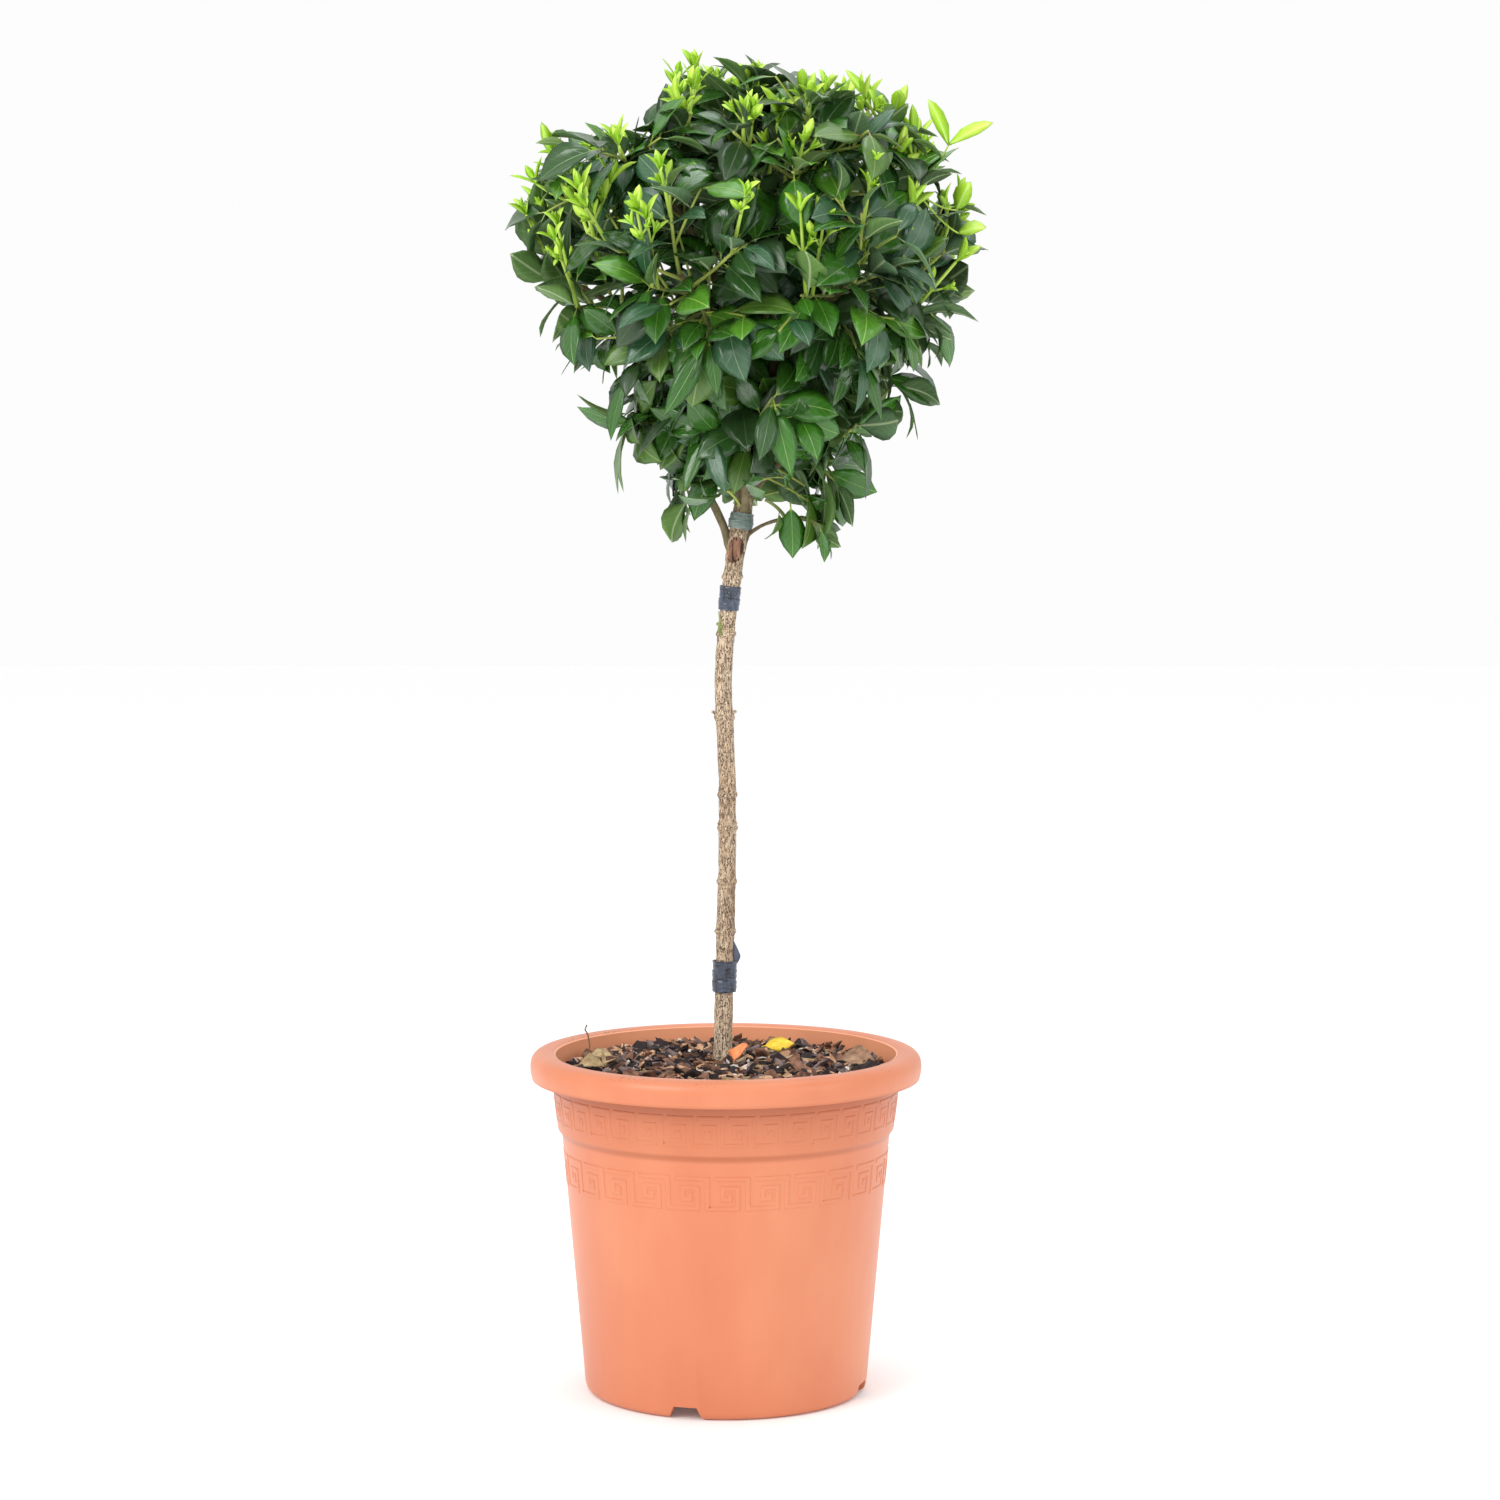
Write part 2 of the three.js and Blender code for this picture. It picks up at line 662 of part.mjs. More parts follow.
// Tries a leaf as it would grow, then lifted or smaller, and gives up if none keeps clear.
function growLeaf(mass, grown, place) {
  const along = place.heading.clone().multiplyScalar(Math.cos(place.open));
  along.addScaledVector(place.side, Math.sin(place.open)).addScaledVector(UP, -place.droop);
  for (const { scale, lift } of LEAF_TRIES) {
    const way = along.clone().addScaledVector(UP, lift).normalize();
    const light = outwardAt(place.root).multiplyScalar(LEAF.towardsOut);
    light.addScaledVector(UP, LEAF.towardsSky);
    light.addScaledVector(way, -light.dot(way)).normalize().applyAxisAngle(way, place.roll);
    const corners = leafCorners(place.root, way, light, place.length * scale, place.broad);
    const leaf = { solid: leafSolid(corners), twig: place.twig, pair: place.pair };
    if (leafClear(mass, corners) && !crossesOthers(leaf, grown)) {
      grown.push({ ...leaf, box: leaf.solid.boundingBox() });
      return;
    }
  }
}

// A pair of leaves opposite each other on a twig.
function growPair(mass, grown, random, node) {
  const level = vector(-node.root.y, node.root.x - CROWN.centreX, 0.01).normalize();
  const across = level.addScaledVector(node.heading, -node.heading.dot(level)).normalize();
  const side = across.applyAxisAngle(node.heading, node.turn);
  const share = crownShare(node.root.z);
  for (const sign of [1, -1]) {
    growLeaf(mass, grown, {
      ...node,
      side: side.clone().multiplyScalar(sign),
      length: random(LEAF.shortest, LEAF.longest) * node.size,
      broad: LEAF.broad,
      droop: blend(LEAF.droopLow, LEAF.droopHigh, share) + random(-1, 1) * LEAF.droopVaries,
      roll: random(-LEAF.roll, LEAF.roll),
    });
  }
}

// Where an upright spring shoot at the end of a twig would reach.
function shootTip(mass, curve) {
  const along = curve.getTangent(1).multiplyScalar(YOUNG.follow);
  along.addScaledVector(UP, YOUNG.upright).normalize();
  const tip = curve.getPoint(1).addScaledVector(along, YOUNG.rise);
  return inSpace(mass, tip, TWIG.tip) && clearOfLimbs(tip, CLEAR.leaf) ? tip : null;
}

// The two small leaves of a spring shoot.
function growYoungPair(mass, grown, { curve, shoot, turn }, twig) {
  const heading = shoot.clone().sub(curve.getPoint(1)).normalize();
  const side = vector(Math.cos(turn), Math.sin(turn), 0);
  for (const sign of [1, -1]) {
    growLeaf(mass, grown, {
      root: shoot.clone().addScaledVector(heading, -YOUNG.below), heading, twig, pair: 'young',
      side: side.clone().multiplyScalar(sign), open: YOUNG.open,
      length: YOUNG.length, broad: YOUNG.broad, droop: 0, roll: 0,
    });
  }
}

function twigClear(mass, curve) {
  for (let i = 0; i <= 8; i += 1) {
    const share = i / 8;
    const point = curve.getPoint(share);
    const radius = blend(TWIG.foot, TWIG.tip, share);
    if (!inSpace(mass, point, radius) || (i > 1 && !clearOfLimbs(point, radius + CLEAR.twig))) {
      return false;
    }
  }
  return true;
}

// A twig bends upwards high in the crown and hangs over low in it.
function twigCurve(mass, start, heading, tip, random) {
  const length = start.distanceTo(tip);
  const sag = blend(TWIG.sagLow, TWIG.sagHigh, crownShare(tip.z)) * length;
  const sway = vector(random(-1, 1), random(-1, 1), 0).multiplyScalar(TWIG.sway * length);
  for (const strength of [1, 0.5, 0]) {
    const bend = start.clone().lerp(tip, 0.5);
    bend.addScaledVector(heading, TWIG.follow * length * strength);
    bend.addScaledVector(sway, strength).addScaledVector(UP, sag * strength);
    const curve = new THREE.QuadraticBezierCurve3(start, bend, tip);
    if (twigClear(mass, curve)) {
      return curve;
    }
  }
  return null;
}

// The mass's own twig tips, the ones behind the stem first.
function ownTips(mass, tips) {
  const forward = mass.curve.getTangent(1);
  const own = tips.filter((tip) => nearestMass(tip) === mass);
  return own.sort((one, other) => one.dot(forward) - other.dot(forward));
}

function planTwigs(mass, tips, random) {
  const own = ownTips(mass, tips);
  const twigs = own.map((tip, i) => {
    const share = blend(mass.stemStart, 1, blend(STEM.firstTwig, 1, (i + 1) / own.length));
    const heading = mass.curve.getTangent(share);
    const curve = twigCurve(mass, mass.curve.getPoint(share), heading, tip, random);
    const turn = random(0, Math.PI / 2);
    const springs = random(0, 1) < YOUNG.share && tip.z > YOUNG.above;
    return { curve, turn, shoot: springs && curve !== null ? shootTip(mass, curve) : null };
  });
  return twigs.filter(({ curve }) => curve !== null);
}

function growMass(mass, tips) {
  const random = seededNumbers(mass.seed);
  const twigs = planTwigs(mass, tips, random);
  const limbs = [stemSolid(mass), ...twigs.map(({ curve, shoot }) => twigSolid(curve, shoot))];
  const grown = limbs.map((solid, i) => ({ solid, box: solid.boundingBox(), twig: i - 1 }));
  twigs.forEach((plan, twig) => {
    TWIG.nodes.forEach((place, pair) => {
      growPair(mass, grown, random, {
        root: plan.curve.getPoint(place), heading: plan.curve.getTangent(place), twig, pair,
        turn: plan.turn + pair * (Math.PI / 2), open: blend(LEAF.openFoot, LEAF.openTip, place),
        size: pair === TWIG.nodes.length - 1 ? LEAF.endSize : 1,
      });
    });
    if (plan.shoot !== null) {
      growYoungPair(mass, grown, plan, twig);
    }
  });
  return grown;
}

// ---------------------------------------------------------------- solids of the crown

function leafSolid(leaf) {
  const geometry = new THREE.OctahedronGeometry(1);
  const place = geometry.attributes.position;
  for (let i = 0; i < place.count; i += 1) {
    const side = Math.round(place.getX(i));
    const along = Math.round(place.getY(i));
    const face = Math.round(place.getZ(i));
    const ends = along > 0 ? leaf.tip : leaf.start;
    const point = (along === 0 ? leaf.middle : ends).clone();
    if (face !== 0) {
      point.copy(leaf.rib).addScaledVector(leaf.face, (face * LEAF.thick) / 2);
    }
    point.addScaledVector(leaf.across, side * leaf.half);
    place.setXYZ(i, point.x, point.y, point.z);
  }
  return toSolid(geometry);
}

// The direction that fixes how a limb's sides turn: level, and square to its way out.
function levelAcross(curve) {
  const way = curve.getPoint(1).sub(curve.getPoint(0));
  const level = vector(-way.y, way.x, 0);
  return level.length() < 1 ? vector(1, 0, 0) : level.normalize();
}

function curveRings(curve, from, to, steps, radiusAt) {
  return Array.from({ length: steps + 1 }, (_, i) => {
    const share = i / steps;
    const place = blend(from, to, share);
    return {
      centre: curve.getPoint(place), radius: radiusAt(share), ahead: curve.getTangent(place),
    };
  });
}

function twigSolid(curve, shoot) {
  const rings = curveRings(curve, 0, 1, TWIG.steps, (share) => blend(TWIG.foot, TWIG.tip, share));
  if (shoot !== null) {
    const ahead = shoot.clone().sub(curve.getPoint(1)).normalize();
    rings.push({ centre: shoot, radius: TWIG.tip * 0.8, ahead });
  }
  return toSolid(limb(rings, TWIG.sides, levelAcross(curve)));
}

function stemSolid(mass) {
  const nearby = mass.curve.getPoint(BOUGH.end + 0.01);
  const gap = (0.01 * GAP) / mass.curve.getPoint(BOUGH.end).distanceTo(nearby);
  const from = mass.onTrunk ? 0 : BOUGH.end + gap;
  const radiusAt = (share) => blend(STEM.foot, STEM.tip, share);
  const rings = curveRings(mass.curve, from, 1, STEM.steps, radiusAt);
  return toSolid(limb(rings, STEM.sides, levelAcross(mass.curve)));
}

function foliageGeometry(mass, tips) {
  return largestShell(toGeometry(joined(growMass(mass, tips).map(({ solid }) => solid))));
}

function boughGeometry(mass, stemCut) {
  const rings = curveRings(mass.curve, 0, BOUGH.end, BOUGH.steps, (share) => boughRadius(mass, share));
  const whole = toSolid(limb(rings, BOUGH.sides, levelAcross(mass.curve)));
  return largestShell(toGeometry(whole.subtract(stemCut)));
}

// ---------------------------------------------------------------- the scene graph

const plant = new THREE.Group();

function addPart(name, geometry, colour, roughness) {
  const material = new THREE.MeshStandardMaterial({ color: colour, roughness, metalness: 0 });
  const mesh = new THREE.Mesh(geometry, material);
  mesh.name = name;
  plant.add(mesh);
}

addPart('pot', potGeometry(), COLOURS.pot, 0.5);
addPart('soil', soilGeometry(), COLOURS.soil, 0.95);
addPart('trunk', trunkGeometry(), COLOURS.bark, 0.9);
addPart('tie_lower', tieGeometry(LOWER_TIE), COLOURS.tape, 0.5);
addPart('tie_upper', tieGeometry(UPPER_TIE), COLOURS.tape, 0.5);
addPart('stem_band', tieGeometry(STEM_BAND), COLOURS.band, 0.6);

const stemCut = trunkShape(GAP, trunkFoot, TRUNK.tipHeight).add(tieOutside(STEM_BAND, GAP));
const tips = planTips();
for (const mass of masses) {
  if (!mass.onTrunk) {
    addPart(`bough_${mass.name}`, boughGeometry(mass, stemCut), COLOURS.bough, 0.85);
  }
  addPart(`foliage_${mass.name}`, foliageGeometry(mass, tips), COLOURS.foliage, 0.4);
}

export default plant;
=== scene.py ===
# %% [markdown]
# # A potted laurustinus, grown as a standard
# This lesson dresses a imported model of a small evergreen tree: one bare stem, a loose round head
# of leaves, and a moulded pot full of bark. The model's solids are the frame, and each piece made
# here stands for some of them. First the frame is loaded.

# %% Load the frame
import math

import bmesh
import bpy
import numpy as np
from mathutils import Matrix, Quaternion, Vector


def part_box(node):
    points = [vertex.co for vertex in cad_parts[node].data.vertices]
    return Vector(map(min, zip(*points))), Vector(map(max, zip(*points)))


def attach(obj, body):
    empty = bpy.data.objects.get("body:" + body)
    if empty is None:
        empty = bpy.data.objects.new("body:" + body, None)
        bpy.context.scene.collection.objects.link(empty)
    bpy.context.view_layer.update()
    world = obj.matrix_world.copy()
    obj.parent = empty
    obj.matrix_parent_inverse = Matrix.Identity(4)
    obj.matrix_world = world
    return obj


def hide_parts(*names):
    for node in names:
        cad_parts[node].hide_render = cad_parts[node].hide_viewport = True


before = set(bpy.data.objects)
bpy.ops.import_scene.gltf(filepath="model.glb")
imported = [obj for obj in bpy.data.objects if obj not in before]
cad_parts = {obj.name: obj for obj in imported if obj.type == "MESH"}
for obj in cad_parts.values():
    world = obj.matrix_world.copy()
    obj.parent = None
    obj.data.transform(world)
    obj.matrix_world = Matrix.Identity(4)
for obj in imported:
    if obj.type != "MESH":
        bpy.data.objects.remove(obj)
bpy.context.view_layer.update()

MM = 0.001
print("Nodes in the frame:", len(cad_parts))

# %% [markdown]
# ## Small tools
# Every operator acts on what is selected, so pieces start with nothing selected. A finished piece
# keeps its place in its mesh and sits at the origin. In edit mode, faces or vertices are chosen
# by where they lie, as one would pick them with the mouse.

# %% Selecting and editing
def start_fresh():
    """Leaves edit mode and selects nothing."""
    if bpy.context.object and bpy.context.object.mode != "OBJECT":
        bpy.ops.object.mode_set(mode="OBJECT")
    bpy.ops.object.select_all(action="DESELECT")


def take(piece):
    """Makes this piece the only selected one."""
    start_fresh()
    piece.select_set(True)
    bpy.context.view_layer.objects.active = piece
    return piece


def settle(piece, name):
    """Puts the piece's place, turn and size into its mesh and gives it its name."""
    take(piece)
    bpy.ops.object.transform_apply(location=True, rotation=True, scale=True)
    piece.name = name
    piece.data.name = name
    return piece


def pick(piece, kind, chosen):
    """In edit mode, selects the vertices, edges or faces whose middle passes the test."""
    bpy.ops.mesh.select_mode(type=kind)
    bpy.ops.mesh.select_all(action="DESELECT")
    mesh = bmesh.from_edit_mesh(piece.data)
    if kind == "VERT":
        for vertex in mesh.verts:
            vertex.select_set(chosen(vertex.co))
    elif kind == "EDGE":
        for edge in mesh.edges:
            edge.select_set(all(chosen(vertex.co) for vertex in edge.verts))
    else:
        for face in mesh.faces:
            face.select_set(chosen(face.calc_center_median()))
    mesh.select_flush_mode()
    bmesh.update_edit_mesh(piece.data)


def apply_modifier(piece, kind, **settings):
    """Adds a modifier with its settings and applies it."""
    take(piece)
    modifier = piece.modifiers.new(kind.title(), kind)
    for key, value in settings.items():
        setattr(modifier, key, value)
    bpy.ops.object.modifier_apply(modifier=modifier.name)


# %% Welding, smoothing and reading a shape
def weld(piece, within):
    """Joins vertices that are nearer than `within` metres, and turns all faces outwards."""
    take(piece)
    bpy.ops.object.mode_set(mode="EDIT")
    bpy.ops.mesh.select_all(action="SELECT")
    bpy.ops.mesh.remove_doubles(threshold=within)
    bpy.ops.mesh.normals_make_consistent(inside=False)
    bpy.ops.object.mode_set(mode="OBJECT")


def smooth(piece, degrees=None):
    """Shades a piece smooth: all over, or only where it bends by less than some degrees."""
    take(piece)
    if degrees is None:
        bpy.ops.object.shade_smooth()
    else:
        bpy.ops.object.shade_smooth_by_angle(angle=math.radians(degrees))


def read_shape(piece):
    """The points and faces of a piece, which is then deleted."""
    points = np.array([vertex.co for vertex in piece.data.vertices])
    faces = [list(face.vertices) for face in piece.data.polygons]
    take(piece)
    bpy.ops.object.delete()
    return points, faces


def tell(piece):
    """Prints how many faces a piece has and how big it is."""
    size = [round(side / MM) for side in piece.dimensions]
    print(f"{piece.name}: {len(piece.data.polygons)} faces, {size} mm")


# %% [markdown]
# Some pieces are thousands of copies of one small shape. Their points are worked out as arrays,
# which is far quicker than an operator for each copy, and made one mesh. The copies differ by
# numbers drawn from a seeded run, so the plant is the same each time it is grown.

# %% A mesh from points, and a seeded run of numbers
def mesh_from(name, points, faces, materials=None, uv=None):
    """A new piece from arrays of points in mm and of faces."""
    mesh = bpy.data.meshes.new(name)
    mesh.from_pydata((np.asarray(points) * MM).tolist(), [], [list(face) for face in faces])
    if materials is not None:
        mesh.polygons.foreach_set("material_index", np.asarray(materials, np.int32))
    if uv is not None:
        layer = mesh.uv_layers.new(name="OFBake")
        layer.data.foreach_set("uv", np.asarray(uv, np.float32).ravel())
    mesh.update()
    piece = bpy.data.objects.new(name, mesh)
    bpy.context.scene.collection.objects.link(piece)
    return piece


# %% A seeded run of numbers
def seeded(seed):
    """The same seed gives the same run of numbers here as in the part's source."""
    state = seed

    def draw(low, high):
        nonlocal state
        state = (state + 0x6D2B79F5) & 0xFFFFFFFF
        mixed = ((state ^ (state >> 15)) * (state | 1)) & 0xFFFFFFFF
        mixed ^= (mixed + (mixed ^ (mixed >> 7)) * (mixed | 61)) & 0xFFFFFFFF
        return low + (high - low) * ((mixed ^ (mixed >> 14)) & 0xFFFFFFFF) / 4294967296

    return draw


def blend(low, high, share):
    """The value a share of the way from one to the other."""
    return low + (high - low) * share


def limit(value, low=0.0, high=1.0):
    """The value, kept within its limits."""
    return min(high, max(low, value))


# %% [markdown]
# ## The camera
# A long lens a few metres away shows the plant's upper and lower parts at nearly one scale. It
# stands a little above the pot's rim and is tilted slightly down, so the rim shows as a flat oval.

# %% Camera
# Metres, degrees of tilt, and millimetres of lens.
CAMERA = {"distance": 3.6, "height": 0.92, "tilt": 4.2, "lens": 85.2, "aside": 0.0246}

start_fresh()
bpy.ops.object.camera_add(
    location=(CAMERA["aside"], -CAMERA["distance"], CAMERA["height"]),
    rotation=(math.radians(90 - CAMERA["tilt"]), 0, 0),
)
camera = bpy.context.object
camera.data.lens = CAMERA["lens"]
camera.data.sensor_width = 36
bpy.context.scene.camera = camera
bpy.context.scene.view_settings.view_transform = "Standard"
print("Camera at", [round(value, 3) for value in camera.location])

# %% [markdown]
# ## Floor and light
# The plant stands on a plain white floor in a white room. Large square lamps give soft shadows,
# as windows do. The strongest stands at the upper left, a cooler one above lights the tops of the
# leaves, and a weak one at the right keeps the shaded side from going black.

# %% Floor and light
FLOOR_DROP = 0.0005
LAMPS = {
    # name: place, aim, size in metres, watts
    "window_left": ((-2.6, -2.8, 3.0), (0, 0, 0.8), 2.2, 90),
    "sky_above": ((0.3, 0.4, 4.2), (0, 0, 0.8), 2.6, 60),
    "fill_right": ((3.2, -2.2, 1.6), (0, 0, 0.7), 2.0, 22),
}
SKY_BLUE = (0.9, 0.95, 1.0)
ROOM_LIGHT = 0.98


def soft_light(name, place, aim, size, watts):
    """A square lamp at `place`, turned to shine at `aim`."""
    start_fresh()
    bpy.ops.object.light_add(type="AREA", location=place)
    lamp = bpy.context.object
    lamp.name = name
    lamp.data.size = size
    lamp.data.energy = watts
    lamp.rotation_euler = (Vector(aim) - Vector(place)).to_track_quat("-Z", "Y").to_euler()


start_fresh()
bpy.ops.mesh.primitive_plane_add(size=30, location=(0, 0, -FLOOR_DROP))
floor = settle(bpy.context.object, "studio_floor")
floor_white = bpy.data.materials.new("studio_white")
floor_white.use_nodes = True
floor_shader = floor_white.node_tree.nodes["Principled BSDF"]
floor_shader.inputs["Base Color"].default_value = (0.93, 0.93, 0.93, 1)
floor_shader.inputs["Roughness"].default_value = 0.9
floor_shader.inputs["Emission Color"].default_value = (1, 1, 1, 1)
floor_shader.inputs["Emission Strength"].default_value = 0.07
floor.data.materials.append(floor_white)
for name, (place, aim, size, watts) in LAMPS.items():
    soft_light(name, place, aim, size, watts)
bpy.data.objects["sky_above"].data.color = SKY_BLUE
world = bpy.data.worlds.new("white_room")
world.use_nodes = True
background = world.node_tree.nodes["Background"]
background.inputs["Color"].default_value = (1, 1, 1, 1)
background.inputs["Strength"].default_value = ROOM_LIGHT
bpy.context.scene.world = world

# %% [markdown]
# ## Tools for materials
# Colours are chosen as they look on a screen, and one function turns them into the linear values
# that the shader works with. One other adds any node, with its settings and its links, so each
# finish below reads as a list of steps. The size of a pattern is given in millimetres, as it would
# be measured on the real thing.

# %% Colours and nodes
def linear(colour):
    """A colour such as #f4946a in linear light."""
    values = [int(colour[i:i + 2], 16) / 255 for i in (1, 3, 5)]
    bent = [v / 12.92 if v <= 0.04045 else ((v + 0.055) / 1.055) ** 2.4 for v in values]
    return (*bent, 1.0)


def set_inputs(tree, node, inputs):
    """Gives inputs their values. Each is a number, a colour such as #f4946a, or an output to link."""
    for key, value in inputs.items():
        if isinstance(value, bpy.types.NodeSocket):
            tree.links.new(value, node.inputs[key])
        else:
            node.inputs[key].default_value = linear(value) if isinstance(value, str) else value


def add_node(tree, kind, inputs=None, out=0, stops=(), **settings):
    """Adds a node with its settings and links, and gives back one of its outputs.

    A ramp also takes its stops, each a place from 0 to 1 and a colour or a grey.
    """
    node = tree.nodes.new("ShaderNode" + kind)
    for key, value in settings.items():
        setattr(node, key, value)
    if stops:
        elements = node.color_ramp.elements
        while len(elements) < len(stops):
            elements.new(0.5)
        for element, (place, colour) in zip(elements, stops):
            element.position = place
            element.color = linear(colour) if isinstance(colour, str) else (colour,) * 3 + (1,)
    set_inputs(tree, node, inputs or {})
    return node.outputs[out]


# A Mix node takes its two colours as inputs 6 and 7, and gives the mixed one as output 2.
MIX_COLOURS = {"out": 2, "data_type": "RGBA"}


# %% A new material, and dressing a piece in it
def scale_for(size):
    """A pattern's scale in turns per metre, when one turn is this many mm wide."""
    return 1 / (size * MM)


def new_material(name, roughness, specular=0.5):
    """A plain material, with its node tree and its shader."""
    material = bpy.data.materials.new(name)
    material.use_nodes = True
    shader = material.node_tree.nodes["Principled BSDF"]
    shader.inputs["Roughness"].default_value = roughness
    shader.inputs["Specular IOR Level"].default_value = specular
    return material, material.node_tree, shader


def wear(piece, materials, slot, *nodes):
    """Gives a finished piece its materials and its body, and hides the nodes it stands for.
    The slot is not used.
    """
    for material in materials:
        piece.data.materials.append(material)
    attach(piece, "root")
    if nodes:
        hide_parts(*nodes)
    tell(piece)

# %% [markdown]
# ## The pot's wall
# A moulded pot is the same all round, so half of its outline is drawn once, from the middle of
# its underside up the outside, over the rolled lip and down the inside, and spun round the
# middle. The lip is the only part with a round section, so it gets more points than the rest.

# %% Spin an outline into a pot
POT = {
    "height": 347.5, "rim": 200.0, "band_top": 178.0, "band_foot": 172.0, "band_z": 271.5,
    "body_top": 167.5, "body_z": 263.5, "foot": 144.6, "lip_foot": 321.5, "lip_inner": 174.0,
}
SPIN_STEPS = 144


def lip_outline():
    """The rolled lip, from its free edge round to the inside of the pot."""
    points = [(POT["band_top"], POT["lip_foot"]), (POT["band_top"] + 1, 338.0)]
    points += [(191.0, 338.0), (195.4, 334.0), (196.2, 322.2), (198.2, 321.2)]
    middle = (184.6, 332.6)
    for step in range(13):
        turn = math.radians(blend(-22, 126, step / 12))
        across = 15.4 * abs(math.cos(turn)) ** 0.72 * math.copysign(1, math.cos(turn))
        up = 14.9 * abs(math.sin(turn)) ** 0.8 * math.copysign(1, math.sin(turn))
        points.append((middle[0] + across, middle[1] + up))
    return points


def pot_outline():
    """(radius, height) of the wall in mm."""
    underside = [(0, 0), (93.4, 0), (94, 0.6), (98, 13), (133.6, 13), (136, 0.4), (136.6, 0)]
    corner = [(138.6, 0), (141.4, 1.4), (143.4, 3.8), (POT["foot"], 7.4)]
    body_top, body_z = POT["body_top"], POT["body_z"]
    band_foot, band_z = POT["band_foot"], POT["band_z"]
    wall = [(body_top - 0.2, body_z - 3), (body_top + 0.9, body_z + 1.6)]
    step = [(band_foot - 1.2, band_z - 3.2), (band_foot - 0.2, band_z - 1.8), (band_foot + 0.2, band_z)]
    inner = [(POT["lip_inner"], 316), (168.5, 272.5), (164.0, 264.5), (142.1, 16.5), (100, 16.5)]
    return underside + corner + wall + step + lip_outline() + inner + [(95.5, 3.5), (0, 3.5)]


def spin_outline(name, outline, steps=SPIN_STEPS):
    """Draws an outline by extruding one vertex from point to point, and spins it."""
    start_fresh()
    bpy.ops.mesh.primitive_plane_add(size=0.01)
    piece = bpy.context.object
    bpy.ops.object.mode_set(mode="EDIT")
    bpy.ops.mesh.select_mode(type="VERT")
    bpy.ops.mesh.select_all(action="SELECT")
    bpy.ops.mesh.merge(type="CENTER")
    points = [Vector((radius * MM, 0, height * MM)) for radius, height in outline]
    bpy.ops.transform.translate(value=points[0])
    for before, after in zip(points, points[1:]):
        bpy.ops.mesh.extrude_vertices_move(TRANSFORM_OT_translate={"value": after - before})
    bpy.ops.mesh.select_all(action="SELECT")
    bpy.ops.mesh.spin(steps=steps, angle=2 * math.pi, center=(0, 0, 0), axis=(0, 0, 1))
    weld(piece, 2e-5)
    return settle(piece, name)


pot = spin_outline("pot_wall", pot_outline())
tell(pot)

# %% [markdown]
# Four notches in the foot let water run off, and four drain holes lie inside them. Each is cut
# out by a block with a Boolean modifier, as a moulder's tool leaves it out of the plastic.

# %% Cut the notches and the drain holes
NOTCH_TURN = -16
# The block that cuts a notch, and the rod that cuts a hole, in metres.
NOTCH = {"place": (0, -0.1396, 0.0058), "size": (0.036, 0.014, 0.0134), "narrowed": 24 / 36}
DRAIN = {"vertices": 24, "radius": 0.007, "depth": 0.03, "location": (0, -0.116, 0.013)}


def cut(piece, tool):
    """Cuts a tool's shape out of a piece, and deletes the tool."""
    apply_modifier(piece, "BOOLEAN", operation="DIFFERENCE", solver="EXACT", object=tool)
    take(tool)
    bpy.ops.object.delete()


def notch_block(turn):
    """A block as wide as the notch, narrowed at its top."""
    start_fresh()
    bpy.ops.mesh.primitive_cube_add(size=1, location=NOTCH["place"], scale=NOTCH["size"])
    block = settle(bpy.context.object, "notch_block")
    bpy.ops.object.mode_set(mode="EDIT")
    pick(block, "VERT", lambda place: place.z > 0.01)
    bpy.ops.transform.resize(value=(NOTCH["narrowed"], 1, 1))
    bpy.ops.object.mode_set(mode="OBJECT")
    block.rotation_euler.z = math.radians(turn)
    return settle(block, "notch_block")


def drain_rod(turn):
    """A rod as thick as a drain hole."""
    start_fresh()
    bpy.ops.mesh.primitive_cylinder_add(**DRAIN)
    rod = settle(bpy.context.object, "drain_rod")
    rod.rotation_euler.z = math.radians(turn)
    return settle(rod, "drain_rod")


for quarter in range(4):
    cut(pot, notch_block(NOTCH_TURN + 90 * quarter))
    cut(pot, drain_rod(NOTCH_TURN + 90 * quarter))
smooth(pot, 38)
tell(pot)

# %% [markdown]
# ## The Greek key
# Two bands of a shallow Greek key run round the pot. One unit is a flat grid in which the cells
# that belong to the line are raised. It is then copied side by side and wrapped on the pot, so
# that the wall itself stays simple.

# %% One unit of the key
KEY_CELLS = (16, 15)
# The line's foot lies this far inside the wall, in mm.
KEY_ROOT = 0.8
# The line's edges are rounded by this much, in metres.
KEY_BEVEL = 0.0004
# The line's strokes in cells: from column and row, to column and row, both included.
KEY_STROKES = [
    (2, 13, 15, 14), (14, 0, 15, 14), (0, 0, 11, 1), (10, 0, 11, 10), (4, 9, 11, 10),
    (4, 4, 5, 10), (4, 4, 8, 5), (7, 4, 8, 7),
]


